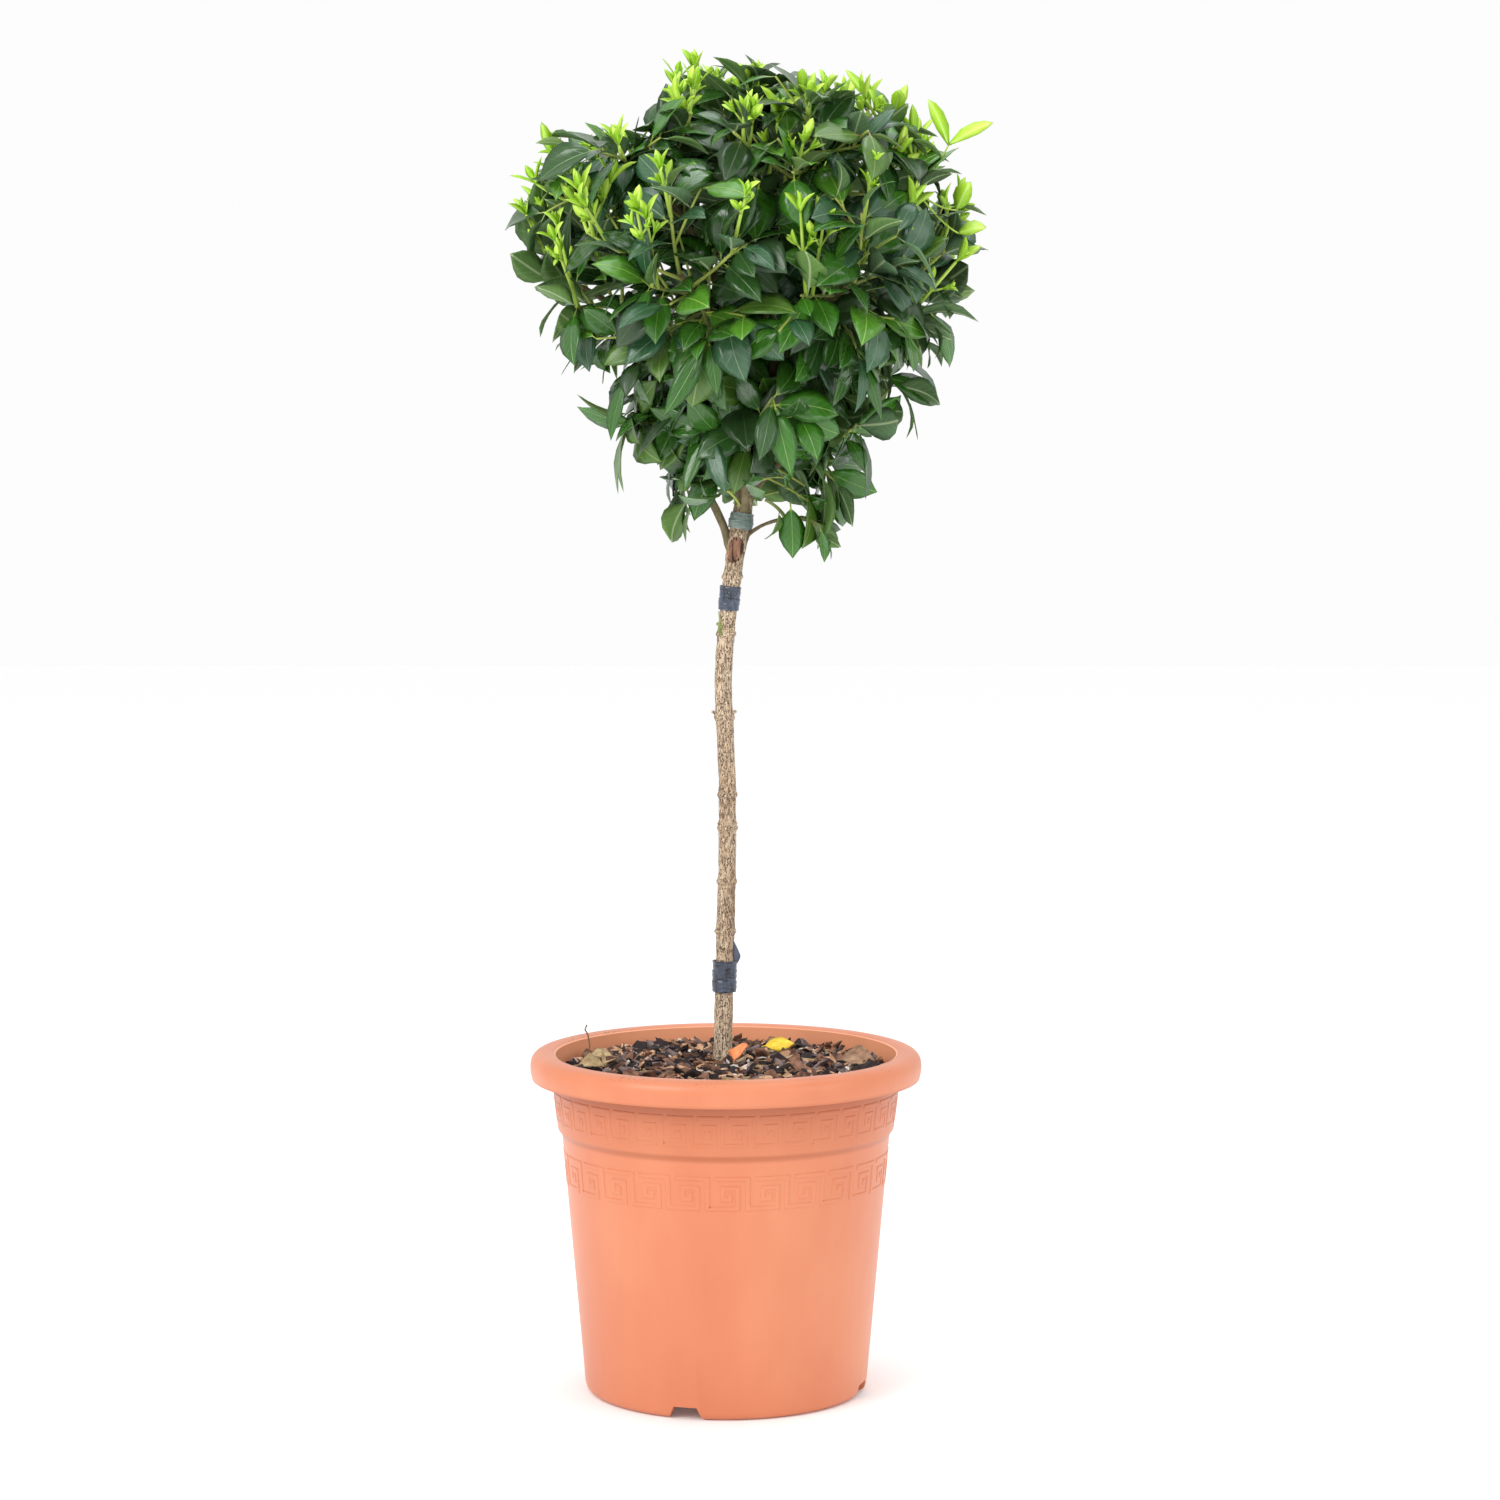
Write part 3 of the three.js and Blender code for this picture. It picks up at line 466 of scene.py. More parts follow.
def key_unit():
    """A flat key unit, one unit wide and tall, with its line raised by one unit."""
    columns, rows = KEY_CELLS
    start_fresh()
    bpy.ops.mesh.primitive_grid_add(x_subdivisions=columns, y_subdivisions=rows, size=1)
    unit = settle(bpy.context.object, "key_unit")

    def on_line(place):
        column = int((place.x + 0.5) * columns)
        row = int((place.y + 0.5) * rows)
        return any(a <= column <= c and b <= row <= d for a, b, c, d in KEY_STROKES)

    bpy.ops.object.mode_set(mode="EDIT")
    pick(unit, "FACE", lambda place: not on_line(place))
    bpy.ops.mesh.delete(type="FACE")
    bpy.ops.mesh.select_all(action="SELECT")
    bpy.ops.mesh.extrude_region_move(TRANSFORM_OT_translate={"value": (0, 0, 1)})
    bpy.ops.mesh.select_all(action="SELECT")
    bpy.ops.mesh.normals_make_consistent(inside=False)
    bpy.ops.object.mode_set(mode="OBJECT")
    return unit


# %% Wrap the units round the pot
def wall_radius(height):
    """The outer radius of the pot's wall at a height, in mm."""
    if height > POT["band_z"]:
        share = (height - POT["band_z"]) / (POT["lip_foot"] - POT["band_z"])
        return blend(POT["band_foot"], POT["band_top"], share)
    return blend(POT["foot"], POT["body_top"], (height - 7.4) / (POT["body_z"] - 7.4))


def key_band(name, count, foot, top, turn, relief):
    """Copies of the unit round the pot, from `foot` to `top`, raised by `relief` from its wall."""
    points, faces = read_shape(key_unit())
    all_points, all_faces = [], []
    for number in range(count):
        for x, y, raised in points:
            angle = 2 * math.pi * (number + x + 0.5) / count + math.radians(turn)
            height = blend(foot, top, y + 0.5)
            radius = wall_radius(height) + (relief if raised > 0.5 else -KEY_ROOT)
            all_points.append((radius * math.sin(angle), -radius * math.cos(angle), height))
        first = number * len(points)
        all_faces += [[first + corner for corner in face] for face in faces]
    band = mesh_from(name, all_points, all_faces)
    weld(band, 1e-5)
    apply_modifier(band, "BEVEL", width=KEY_BEVEL, segments=1, limit_method="ANGLE")
    smooth(band, 50)
    return band


key_upper = key_band("key_upper", 36, 278.4, 310.5, 0, 0.4)
key_lower = key_band("key_lower", 26, 214.0, 248.5, 8.8, 0.5)

# %% [markdown]
# ## The pot's plastic
# Terracotta-coloured polypropylene: the colour goes all through, the surface is satin, and it
# is faintly cloudy where the melt flowed. Splashed soil has dried on the lip and near the foot.

# %% Moulded terracotta-coloured plastic
def terracotta_plastic():
    """Moulded polypropylene, named for what it is made of and how.

    The faint clouds keep so broad a wall from looking painted. The creases, darkened with painted
    shade, and the dried splashes of soil give the eye its depth and its size. Painted light makes
    the inside of the lip paler.
    """
    material, tree, shader = new_material("polypropylene_moulded_terracotta", 0.38)
    place = add_node(tree, "TexCoord", out="Object")
    height = add_node(tree, "SeparateXYZ", {0: place}, out="Z")
    # Clouds of the melt are about 111 mm across and drawn out upwards.
    drawn_out = add_node(tree, "Mapping", {"Vector": place, "Scale": (1, 1, 0.45)})
    cloud = add_node(tree, "TexNoise", {"Vector": drawn_out, "Scale": scale_for(111.11), "Detail": 4})
    shades = [(0.3, "#CB7550"), (0.52, "#D17D57"), (0.75, "#D88862")]
    colour = add_node(tree, "ValToRGB", {0: cloud}, stops=shades)
    # Specks of soil 2.4 mm across lie in patches of 71 mm, near the lip and near the foot only.
    speck = add_node(tree, "TexNoise", {"Vector": place, "Scale": scale_for(2.381), "Detail": 2})
    patch = add_node(tree, "TexNoise", {"Vector": place, "Scale": scale_for(71.43), "Detail": 2})
    near_lip = add_node(tree, "Math", {0: height, 1: 60, 2: -19.6}, operation="MULTIPLY_ADD")
    near_foot = add_node(tree, "Math", {0: height, 1: -30, 2: 0.9}, operation="MULTIPLY_ADD")
    near_either = add_node(tree, "Math", {0: near_lip, 1: near_foot}, operation="MAXIMUM")
    zone = add_node(tree, "Clamp", {0: near_either})
    patchy = add_node(tree, "Math", {0: speck, 1: patch}, operation="MULTIPLY")
    rare = add_node(tree, "Math", {0: patchy, 1: zone}, operation="MULTIPLY")
    dirt = add_node(tree, "ValToRGB", {0: rare}, stops=[(0.33, 0.0), (0.38, 1.0)])
    thin_dirt = add_node(tree, "Math", {0: dirt, 1: 0.55}, operation="MULTIPLY")
    colour = add_node(tree, "Mix", {0: thin_dirt, 6: colour, 7: "#6B4630"}, **MIX_COLOURS)
    # Painted shade darkens the crease over the body and the one under the lip, on the outside only.
    share = add_node(tree, "Math", {0: height, 1: 1 / (POT["height"] * MM)}, operation="MULTIPLY")
    crease = [(POT["body_z"] - 2, 0), (POT["body_z"] + 1, 0.5), (POT["body_z"] + 4.5, 0.6),
              (POT["band_z"] - 1, 0.15), (300.0, 0.3), (POT["lip_foot"] - 2, 0.6), (324.0, 0.0)]
    painted_shade_stops = [(level / POT["height"], amount) for level, amount in crease]
    film = add_node(tree, "ValToRGB", {0: share}, stops=painted_shade_stops)
    flat = add_node(tree, "VectorMath", {0: place, 1: (1, 1, 0)}, operation="MULTIPLY")
    across = add_node(tree, "VectorMath", {0: flat}, out="Value", operation="LENGTH")
    near_middle = add_node(tree, "Math", {0: across, 1: 0.1755}, operation="LESS_THAN")
    above_mix = add_node(tree, "Math", {0: height, 1: 0.312}, operation="GREATER_THAN")
    inside = add_node(tree, "Math", {0: near_middle, 1: above_mix}, operation="MULTIPLY")
    outside = add_node(tree, "Math", {0: 1.0, 1: inside}, operation="SUBTRACT")
    outer_painted_shade = add_node(tree, "Math", {0: film, 1: outside}, operation="MULTIPLY")
    colour = add_node(tree, "Mix", {0: outer_painted_shade, 6: colour, 7: "#A3542E"}, **MIX_COLOURS)
    # Painted light makes the inside of the lip paler.
    within = add_node(tree, "Math", {0: 1.0, 1: outside}, operation="SUBTRACT")
    painted_inside_light = add_node(tree, "Math", {0: within, 1: 0.9}, operation="MULTIPLY")
    colour = add_node(tree, "Mix", {0: painted_inside_light, 6: colour, 7: "#F2A57C"}, **MIX_COLOURS)
    # The mould's grain is finer than this on a real pot. It is drawn 1.1 mm wide, so that it shows.
    grain = add_node(tree, "TexNoise", {"Vector": place, "Scale": scale_for(1.1111), "Detail": 2})
    relief = add_node(tree, "Bump", {"Height": grain, "Distance": 0.04 * MM, "Strength": 0.5})
    set_inputs(tree, shader, {"Base Color": colour, "Normal": relief})
    return material


plastic = terracotta_plastic()
wear(pot, [plastic], "pot_plastic", "pot")
wear(key_upper, [plastic], "pot_plastic")
wear(key_lower, [plastic], "pot_plastic")

# %% [markdown]
# ## The potting mix
# The pot is filled with bark. Below, one lumpy bed stands for all that is packed; on top of it
# thousands of loose chips are strewn by a seeded rule. A chip is modelled a few times only, as a
# flat splinter with a broken outline, and its copies are joined, one piece for each colour.

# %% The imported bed
SOIL_EDGE = 173.4
SOIL_LEVEL = (325.0, 335.0)


def soil_height(across):
    """How high the mix lies at a distance from the middle, in mm."""
    return blend(SOIL_LEVEL[1], SOIL_LEVEL[0], limit(across / SOIL_EDGE) ** 2)


def soil_bed():
    """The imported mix: smooth where the wall hides it, and lumpy on top."""
    inner = [(0, 3.9), (95, 3.9), (99, 16.9), (141.6, 16.9), (163.6, 264.5), (168, 272.5)]
    top = [(across, soil_height(across) - 2.5) for across in range(172, 0, -6)]
    bed = spin_outline("soil_bed", inner + [(SOIL_EDGE - 0.6, 317)] + top + [(0, 332)], 96)
    take(bed)
    bpy.ops.object.mode_set(mode="EDIT")
    pick(bed, "FACE", lambda place: place.z > 0.319)
    bpy.ops.mesh.subdivide(number_cuts=1)
    bpy.ops.object.mode_set(mode="OBJECT")
    group = bed.vertex_groups.new(name="top")
    near = [v.index for v in bed.data.vertices if v.co.z > 0.321 and v.co.xy.length < 0.171]
    group.add(near, 1.0, "REPLACE")
    lumps = bpy.data.textures.new("lumps", "CLOUDS")
    lumps.noise_scale = 0.014
    settings = {"texture": lumps, "texture_coords": "GLOBAL", "direction": "Z"}
    apply_modifier(bed, "DISPLACE", strength=0.009, mid_level=0.5, vertex_group="top", **settings)
    bpy.data.textures.remove(lumps)
    bed.vertex_groups.clear()
    smooth(bed, 50)
    return bed


bed = soil_bed()
tell(bed)

# %% [markdown]
# A chip starts as a low cylinder of a few sides, drawn in to half its breadth, with its upper face
# set in and every corner moved a little. That gives a snapped edge for very few faces, which is
# what counts where thousands lie. Dark chips are the commonest and lie deepest; pale ones and
# thin straws lie on top, where the light finds them.

# %% Bark chips
def chip_shape(seed, sides):
    """A flat chip one unit long, half as broad and a sixth as thick, broken at its edge."""
    draw = seeded(seed)
    start_fresh()
    bpy.ops.mesh.primitive_cylinder_add(vertices=sides, radius=0.5, depth=0.16)
    chip = bpy.context.object
    bpy.ops.object.mode_set(mode="EDIT")
    bpy.ops.mesh.select_all(action="SELECT")
    bpy.ops.transform.resize(value=(1, draw(0.38, 0.6), 1))
    pick(chip, "FACE", lambda place: place.z > 0.05)
    bpy.ops.mesh.inset(thickness=0.1)
    bpy.ops.transform.resize(value=(draw(0.7, 0.9), draw(0.6, 0.9), 1))
    bpy.ops.object.mode_set(mode="OBJECT")
    for vertex in chip.data.vertices:
        shift = Vector((draw(-0.09, 0.09), draw(-0.07, 0.07), draw(-0.03, 0.03)))
        vertex.co += shift
        vertex.co.z += 0.12 * vertex.co.x**2
    return read_shape(chip)


# In mm: how far out chips lie, how thick one may be, and how near the stem's middle one may lie.
CHIP_EDGE = 171
THICKEST_CHIP = 14
STEM_CLEARANCE = 16
CHIPS = [chip_shape(seed, sides) for seed, sides in ((3, 6), (8, 7), (21, 5), (34, 6))]


# %% Strew the chips
def turned(draw, tilt):
    """A random turn about the upright, with up to `tilt` radians of lean."""
    lean = Quaternion((1, 0, 0), draw(-tilt, tilt)) @ Quaternion((0, 1, 0), draw(-tilt, tilt))
    return np.array((Quaternion((0, 0, 1), draw(0, 2 * math.pi)) @ lean).to_matrix())


def strew(name, count, seed, longest, shortest, tilt, lift, slim=1.0):
    """Chips lying on the bed, joined in one piece. None lies within the wall or the stem."""
    draw = seeded(seed)
    points, faces, first = [], [], 0
    for number in range(count):
        shape, sides = CHIPS[number % len(CHIPS)]
        across = CHIP_EDGE * math.sqrt(draw(0.0, 1.0))
        angle = draw(0, 2 * math.pi)
        length = blend(shortest, longest, draw(0, 1) ** 2)
        if across > CHIP_EDGE - length / 2:
            across -= length / 2
        flat = shape * (length, length * slim, min(length, THICKEST_CHIP))
        height = soil_height(across) + draw(*lift)
        place = np.array((across * math.cos(angle), across * math.sin(angle), height))
        if across < STEM_CLEARANCE:
            continue
        points.append(flat @ turned(draw, tilt).T + place)
        faces += [[first + corner for corner in side] for side in sides]
        first += len(shape)
    return mesh_from(name, np.concatenate(points), faces)


CHIP_KINDS = {
    # name: count, seed, longest, shortest, tilt, lift, slim, dark colour, light colour
    "chips_dark": (820, 41, 36, 11, 0.8, (-3, 3), 1.0, "#120C0D", "#352826"),
    "chips_brown": (600, 42, 34, 10, 0.85, (-1.5, 4), 0.95, "#44291F", "#9C7058"),
    "chips_plum": (330, 43, 34, 10, 0.85, (-1, 4), 1.0, "#423233", "#8F7D7A"),
    "chips_tan": (290, 44, 28, 9, 0.9, (0, 5), 0.8, "#A0724F", "#E6BD9C"),
    "chips_pale": (120, 45, 22, 8, 0.9, (1, 5), 0.7, "#B8A498", "#F0E6DC"),
    "straws": (70, 46, 40, 16, 0.4, (2, 6), 0.08, "#8F6F50", "#D8BE96"),
}


# %% Composted bark
def bark_finish(name, dark, light):
    """Composted bark. Its fibres give the grain, and a broad noise gives each chip its own shade."""
    material, tree, shader = new_material("composted_bark_" + name, 0.9)
    place = add_node(tree, "TexCoord", out="Object")
    # The shade changes over about 10.5 mm, the length of a small chip.
    broad = add_node(tree, "TexNoise", {"Vector": place, "Scale": scale_for(10.526), "Detail": 1})
    # Fibres are 1.9 mm wide, drawn coarser than real ones so that they show.
    along = add_node(tree, "Mapping", {"Vector": place, "Scale": (1, 1, 2.5)})
    fibres = {"Vector": along, "Scale": scale_for(1.9231), "Detail": 4, "Roughness": 0.7}
    fibre = add_node(tree, "TexNoise", fibres)
    shade = add_node(tree, "Math", {0: broad, 1: 1.1, 2: -0.3}, operation="MULTIPLY_ADD")
    amount = add_node(tree, "Math", {0: fibre, 1: 0.5, 2: shade}, operation="MULTIPLY_ADD")
    colour = add_node(tree, "ValToRGB", {0: amount}, stops=[(0.25, dark), (0.75, light)])
    relief = add_node(tree, "Bump", {"Height": fibre, "Distance": 0.5 * MM, "Strength": 0.8})
    set_inputs(tree, shader, {"Base Color": colour, "Normal": relief})
    return material


for name, kind in CHIP_KINDS.items():
    count, seed, longest, shortest, tilt, lift, slim, dark, light = kind
    chips = strew(name, count, seed, longest, shortest, tilt, lift, slim)
    wear(chips, [bark_finish(name, dark, light)], "bark_mulch")
wear(bed, [bark_finish("bed", "#1E1718", "#3B2D2A")], "bark_mulch", "soil")

# %% [markdown]
# ## The stem
# The stem's bends, its taper and its nodes are named sizes, the same as in the solid. It is drawn
# as a curve with a round bevel and a radius at every point, and turned into a mesh fine enough
# for real bark relief: long shallow furrows from a noise that is stretched upwards, swollen rings
# where pairs of buds once grew, and a healed cut where a side branch was taken off.

# %% The stem's course and taper
STEM_FOOT = 335.3
STEM_TIP = 1112.0
STEM_BENDS = [
    (-3.6, 0), (-1.2, 2), (0.8, 3), (1.2, 1), (-2.2, -2), (5, -3), (19.5, -1), (22.5, 2), (20, 0),
]
STEM_RINGS = [470, 521, 576, 610, 689, 774, 832]
FORK = {"height": 888.0, "radius": 11.2, "reach": 38.0}
# Radii in mm at the foot, along the clear middle and at the tip.
STEM_RADII = {"foot": 9.5, "clear": 8.7, "tip": 3.6}
# How much wider the stem is at a ring and at its foot, and over how many mm that fades.
SWELLING = {"more": 1.1, "over": 9.0}
ROOT_FLARE = {"more": 1.7, "over": 26.0}
UP = Vector((0, 0, 1))


def stem_centre(height):
    """A smooth line through the bends, evenly spaced in height, in mm."""
    last = len(STEM_BENDS) - 1
    place = limit((height - STEM_FOOT) / (STEM_TIP - STEM_FOOT)) * last
    index = min(int(place), last - 1)
    part = place - index
    knots = [np.array(bend, float) for bend in STEM_BENDS]
    start, end = knots[index], knots[index + 1]
    before = knots[index - 1] if index > 0 else 2 * start - end
    after = knots[index + 2] if index + 2 <= last else 2 * end - start
    leave, arrive = (end - before) / 2, (after - start) / 2
    line = start + leave * part + (-3 * start + 3 * end - 2 * leave - arrive) * part**2
    line = line + (2 * start - 2 * end + leave + arrive) * part**3
    return Vector((line[0], line[1], height))


def stem_radius(height):
    """The stem's radius at a height, both in mm."""
    fork = FORK["height"]
    middle = blend(STEM_FOOT, fork, 0.5)
    if height < middle:
        share = (height - STEM_FOOT) / (middle - STEM_FOOT)
        radius = blend(STEM_RADII["foot"], STEM_RADII["clear"], share)
    elif height < fork:
        share = limit(1 - (fork - height) / FORK["reach"])
        radius = blend(STEM_RADII["clear"], FORK["radius"], share)
    else:
        share = limit((height - fork) / (STEM_TIP - fork))
        radius = blend(FORK["radius"], STEM_RADII["tip"], math.sqrt(share))
    flare = limit(1 - (height - STEM_FOOT) / ROOT_FLARE["over"])
    near = [limit(1 - abs(height - ring) / SWELLING["over"]) for ring in STEM_RINGS]
    swelling = sum(SWELLING["more"] * share for share in near)
    return radius + swelling + ROOT_FLARE["more"] * flare * flare


# %% Limbs from curves, and bark relief
def limbs_from_curves(name, lines, sides_step, caps=True):
    """Round limbs through points (x, y, z, radius) in mm, drawn as curves and made one mesh."""
    start_fresh()
    curve = bpy.data.curves.new(name, "CURVE")
    curve.dimensions = "3D"
    curve.bevel_depth = MM
    curve.bevel_resolution = sides_step
    curve.use_fill_caps = caps
    for line in lines:
        spline = curve.splines.new("POLY")
        spline.points.add(len(line) - 1)
        places = [(x * MM, y * MM, z * MM, 1.0) for x, y, z, radius in line]
        spline.points.foreach_set("co", [value for place in places for value in place])
        spline.points.foreach_set("radius", [radius for x, y, z, radius in line])
        spline.use_smooth = True
    limbs = bpy.data.objects.new(name, curve)
    bpy.context.scene.collection.objects.link(limbs)
    take(limbs)
    bpy.ops.object.convert(target="MESH")
    limbs = settle(bpy.context.object, name)
    weld(limbs, 1e-6)
    return limbs


def roughen(piece, pattern, size, depth, stretch=1.0):
    """Bark relief `depth` deep in mm from noise `size` wide in mm, drawn out upwards."""
    start_fresh()
    bpy.ops.object.empty_add(location=(0.013, 0.007, 0.0), radius=1)
    guide = bpy.context.object
    guide.scale = (1, 1, stretch)
    relief = bpy.data.textures.new("relief", pattern)
    relief.noise_scale = size * MM
    bpy.context.view_layer.update()
    settings = {"texture": relief, "texture_coords": "OBJECT", "texture_coords_object": guide}
    apply_modifier(piece, "DISPLACE", strength=depth * MM, mid_level=0.5, **settings)
    bpy.data.textures.remove(relief)
    bpy.data.objects.remove(guide)


# %% Draw the stem
def stem_mesh():
    """The whole stem, with shallow hollows and long furrows in its bark."""
    heights = np.linspace(STEM_FOOT - 3, STEM_TIP, 300)
    line = [(*stem_centre(height).xy, height, stem_radius(height)) for height in heights]
    stem = limbs_from_curves("stem_bark", [line], 14)
    apply_modifier(stem, "SUBSURF", levels=1, render_levels=1, subdivision_type="SIMPLE")
    roughen(stem, "CLOUDS", 22, 2.0, 2.2)
    roughen(stem, "CLOUDS", 2.2, 1.1, 7.0)
    return stem


stem = stem_mesh()
tell(stem)

# %% [markdown]
# A ring is swollen at its middle and pinched just below it. The healed cut
# is a sunk oval of bare wood with a raised lip of new bark round it. Both are pushed out or in
# along the surface from the vertices that lie there, as a sculptor would, so that they stay part
# of the one stem.

# %% Bud rings and the healed cut
CUT = {"height": 859.0, "turn": math.radians(-98), "tall": 15.5, "wide": 9.8}


def round_cut(place):
    """0 at the middle of the healed cut and 1 at its edge."""
    height = place.z / MM
    centre = stem_centre(height) * MM
    turn = math.atan2(place.y - centre.y, place.x - centre.x) - CUT["turn"]
    turn = (turn + math.pi) % (2 * math.pi) - math.pi
    along = turn * stem_radius(height) / CUT["wide"]
    return math.hypot(along, (height - CUT["height"]) / CUT["tall"])


def by_a_ring(place, low, high):
    """Whether a place lies between two heights from a ring, in mm."""
    return any(low < place.z / MM - ring < high for ring in STEM_RINGS)


# From, to and how far the bark is pushed out, in mm; for the cut, from and to as in round_cut.
RING_STEPS = ((-1.8, 1.8, 0.55), (-0.9, 0.9, 0.35), (-5.5, -2.6, -0.45))
CUT_STEPS = ((0.78, 1.3, 1.0), (0.9, 1.15, 0.7), (-1, 0.8, -0.9), (-1, 0.55, -0.8))
BARE_WOOD = 0.86

take(stem)
bpy.ops.object.mode_set(mode="EDIT")
for low, high, swell in RING_STEPS:
    pick(stem, "VERT", lambda place: by_a_ring(place, low, high))
    bpy.ops.transform.shrink_fatten(value=swell * MM)
for inner, outer, swell in CUT_STEPS:
    pick(stem, "VERT", lambda place: inner < round_cut(place) < outer)
    bpy.ops.transform.shrink_fatten(value=swell * MM)
bpy.ops.object.mode_set(mode="OBJECT")
for face in stem.data.polygons:
    face.material_index = int(round_cut(face.center) < BARE_WOOD)
smooth(stem, 60)
tell(stem)

# %% [markdown]
# ## Dead stubs and buds
# Pairs of dead bud stubs stand on two of the rings, and mere scars on the lower ones. Each is a
# short cone that leans upwards, roughened like snapped wood. A knot of small green buds, made of
# short fat curves, sits low on one side with one thin sprig.

# %% Dead stubs
# Height in mm and turn round the stem in radians. Those below a height are mere scars.
SCARS_BELOW = 650
BUD_STUBS = [
    (689, 0.25), (689, 3.39), (774, 2.2), (774, 5.34), (576, 3.6), (576, 0.2), (610, 4.95),
    (521, 4.95), (470, 4.0),
]


def bud_stubs():
    """Short snapped stubs, long in pairs on two rings and mere scars on the lower ones."""
    stubs = []
    for height, turn in BUD_STUBS:
        short = height < SCARS_BELOW
        out = Vector((math.cos(turn), math.sin(turn), 0.5)).normalized()
        start = stem_centre(height) + out * stem_radius(height) * 0.8
        length = 3.4 if short else 6.4
        start_fresh()
        bpy.ops.mesh.primitive_cone_add(
            vertices=12, radius1=2.7 * MM, radius2=1.3 * MM, depth=length * MM,
            location=(start + out * length / 2) * MM, rotation=out.to_track_quat("Z", "Y").to_euler(),
        )
        stub = settle(bpy.context.object, "bud_stub")
        bpy.ops.object.mode_set(mode="EDIT")
        bpy.ops.mesh.select_all(action="SELECT")
        bpy.ops.mesh.subdivide(number_cuts=3)
        bpy.ops.object.mode_set(mode="OBJECT")
        stubs.append(stub)
    start_fresh()
    for stub in stubs:
        stub.select_set(True)
    bpy.context.view_layer.objects.active = stubs[0]
    bpy.ops.object.join()
    whole = settle(bpy.context.object, "bud_stubs")
    roughen(whole, "CLOUDS", 2.5, 1.0)
    smooth(whole, 50)
    return whole


stubs = bud_stubs()
tell(stubs)

# %% A knot of green buds
BUD_KNOT = {"height": 777, "turn": 3.95, "buds": 11}


def bud_cluster():
    """A knot of green buds low on the left of the stem, with one thin sprig."""
    draw = seeded(61)
    height, turn = BUD_KNOT["height"], BUD_KNOT["turn"]
    out = Vector((math.cos(turn), math.sin(turn), 0))
    round_stem = UP.cross(out)
    middle = stem_centre(height) + out * (stem_radius(height) - 0.4)
    lumps = []
    for _ in range(BUD_KNOT["buds"]):
        place = middle + round_stem * draw(-4, 4) + out * draw(-0.6, 1.2) + UP * draw(-7, 6)
        lumps.append([(*place, 0.7), (*(place + UP * 1.6), 1.9), (*(place + UP * 3.4), 0.6)])
    foot = middle + UP * 4
    tip = foot + out * 2 + UP * 16
    lumps.append([(*foot, 1.0), (*foot.lerp(tip, 0.5), 0.8), (*tip, 0.5)])
    buds = limbs_from_curves("bud_cluster", lumps, 2)
    smooth(buds)
    return buds


buds = bud_cluster()
tell(buds)

# %% [markdown]
# ## Tapes
# Two ties of dark stretch tape hold the stem, wound over themselves and wrinkled, and a grey
# band sits under the first fork. A tape is a tube a little wider than the stem, whose radius
# steps out where one turn laps the one below. It is creased by noise and then given its thickness.

# %% Tapes and the grey band
def wound_tape(name, foot, top, turns, thick):
    """Tape wound round the stem: each turn laps over the one below, and it wrinkles."""
    heights = np.linspace(foot, top, 34)
    line = []
    for height in heights:
        lap = (height - foot) / (top + 0.1 - foot) * turns % 1.0
        radius = stem_radius(height) + 1.0 + thick * (0.4 + 0.6 * lap)
        line.append((*stem_centre(height).xy, height, radius))
    tape = limbs_from_curves(name, [line], 18, caps=False)
    roughen(tape, "CLOUDS", 9, 1.5, 0.35)
    roughen(tape, "CLOUDS", 3, 1.0, 0.35)
    apply_modifier(tape, "SOLIDIFY", thickness=0.0012, offset=-1)
    apply_modifier(tape, "BEVEL", width=0.0002, segments=1, limit_method="ANGLE")
    smooth(tape, 35)
    return tape


# %% The tape's free end
def tape_end():
    """The free end of the lower tape: a strip that narrows to a point and stands off."""
    start_fresh()
    bpy.ops.mesh.primitive_grid_add(x_subdivisions=5, y_subdivisions=8, size=1)
    end = bpy.context.object
    foot = stem_centre(437) + Vector((8.4, -3.5, 0))
    for vertex in end.data.vertices:
        along, across = vertex.co.y + 0.5, vertex.co.x + 0.5
        if along < 0.3:
            broad = blend(4.5, 8.5, along / 0.3)
        else:
            broad = blend(8.5, 0.5, (along - 0.3) / 0.7)
        fold = 1.5 * math.sin(across * 3)
        vertex.co = (foot + Vector((across * broad, 3 * across - fold, 24 * along))) * MM
    end = settle(end, "tape_free_end")
    apply_modifier(end, "SOLIDIFY", thickness=0.0006, offset=0)
    apply_modifier(end, "SUBSURF", levels=1, render_levels=1)
    smooth(end)
    return end


def span(node):
    """The foot and the top of a solid, in mm."""
    low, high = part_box(node)
    return low[2] / MM, high[2] / MM


tape_lower = wound_tape("tape_lower", *span("tie_lower"), 3, 1.4)
tape_upper = wound_tape("tape_upper", *span("tie_upper"), 2, 1.4)
grey_band = wound_tape("grey_band", *span("stem_band"), 1, 0.8)
loose_end = tape_end()

# %% [markdown]
# ## Bark, wood and tape finishes
# The bark is thin and khaki grey, split by fine upright cracks and dotted all over with small
# dark breathing pores. The pores follow a cell pattern on the stem's own coordinates.

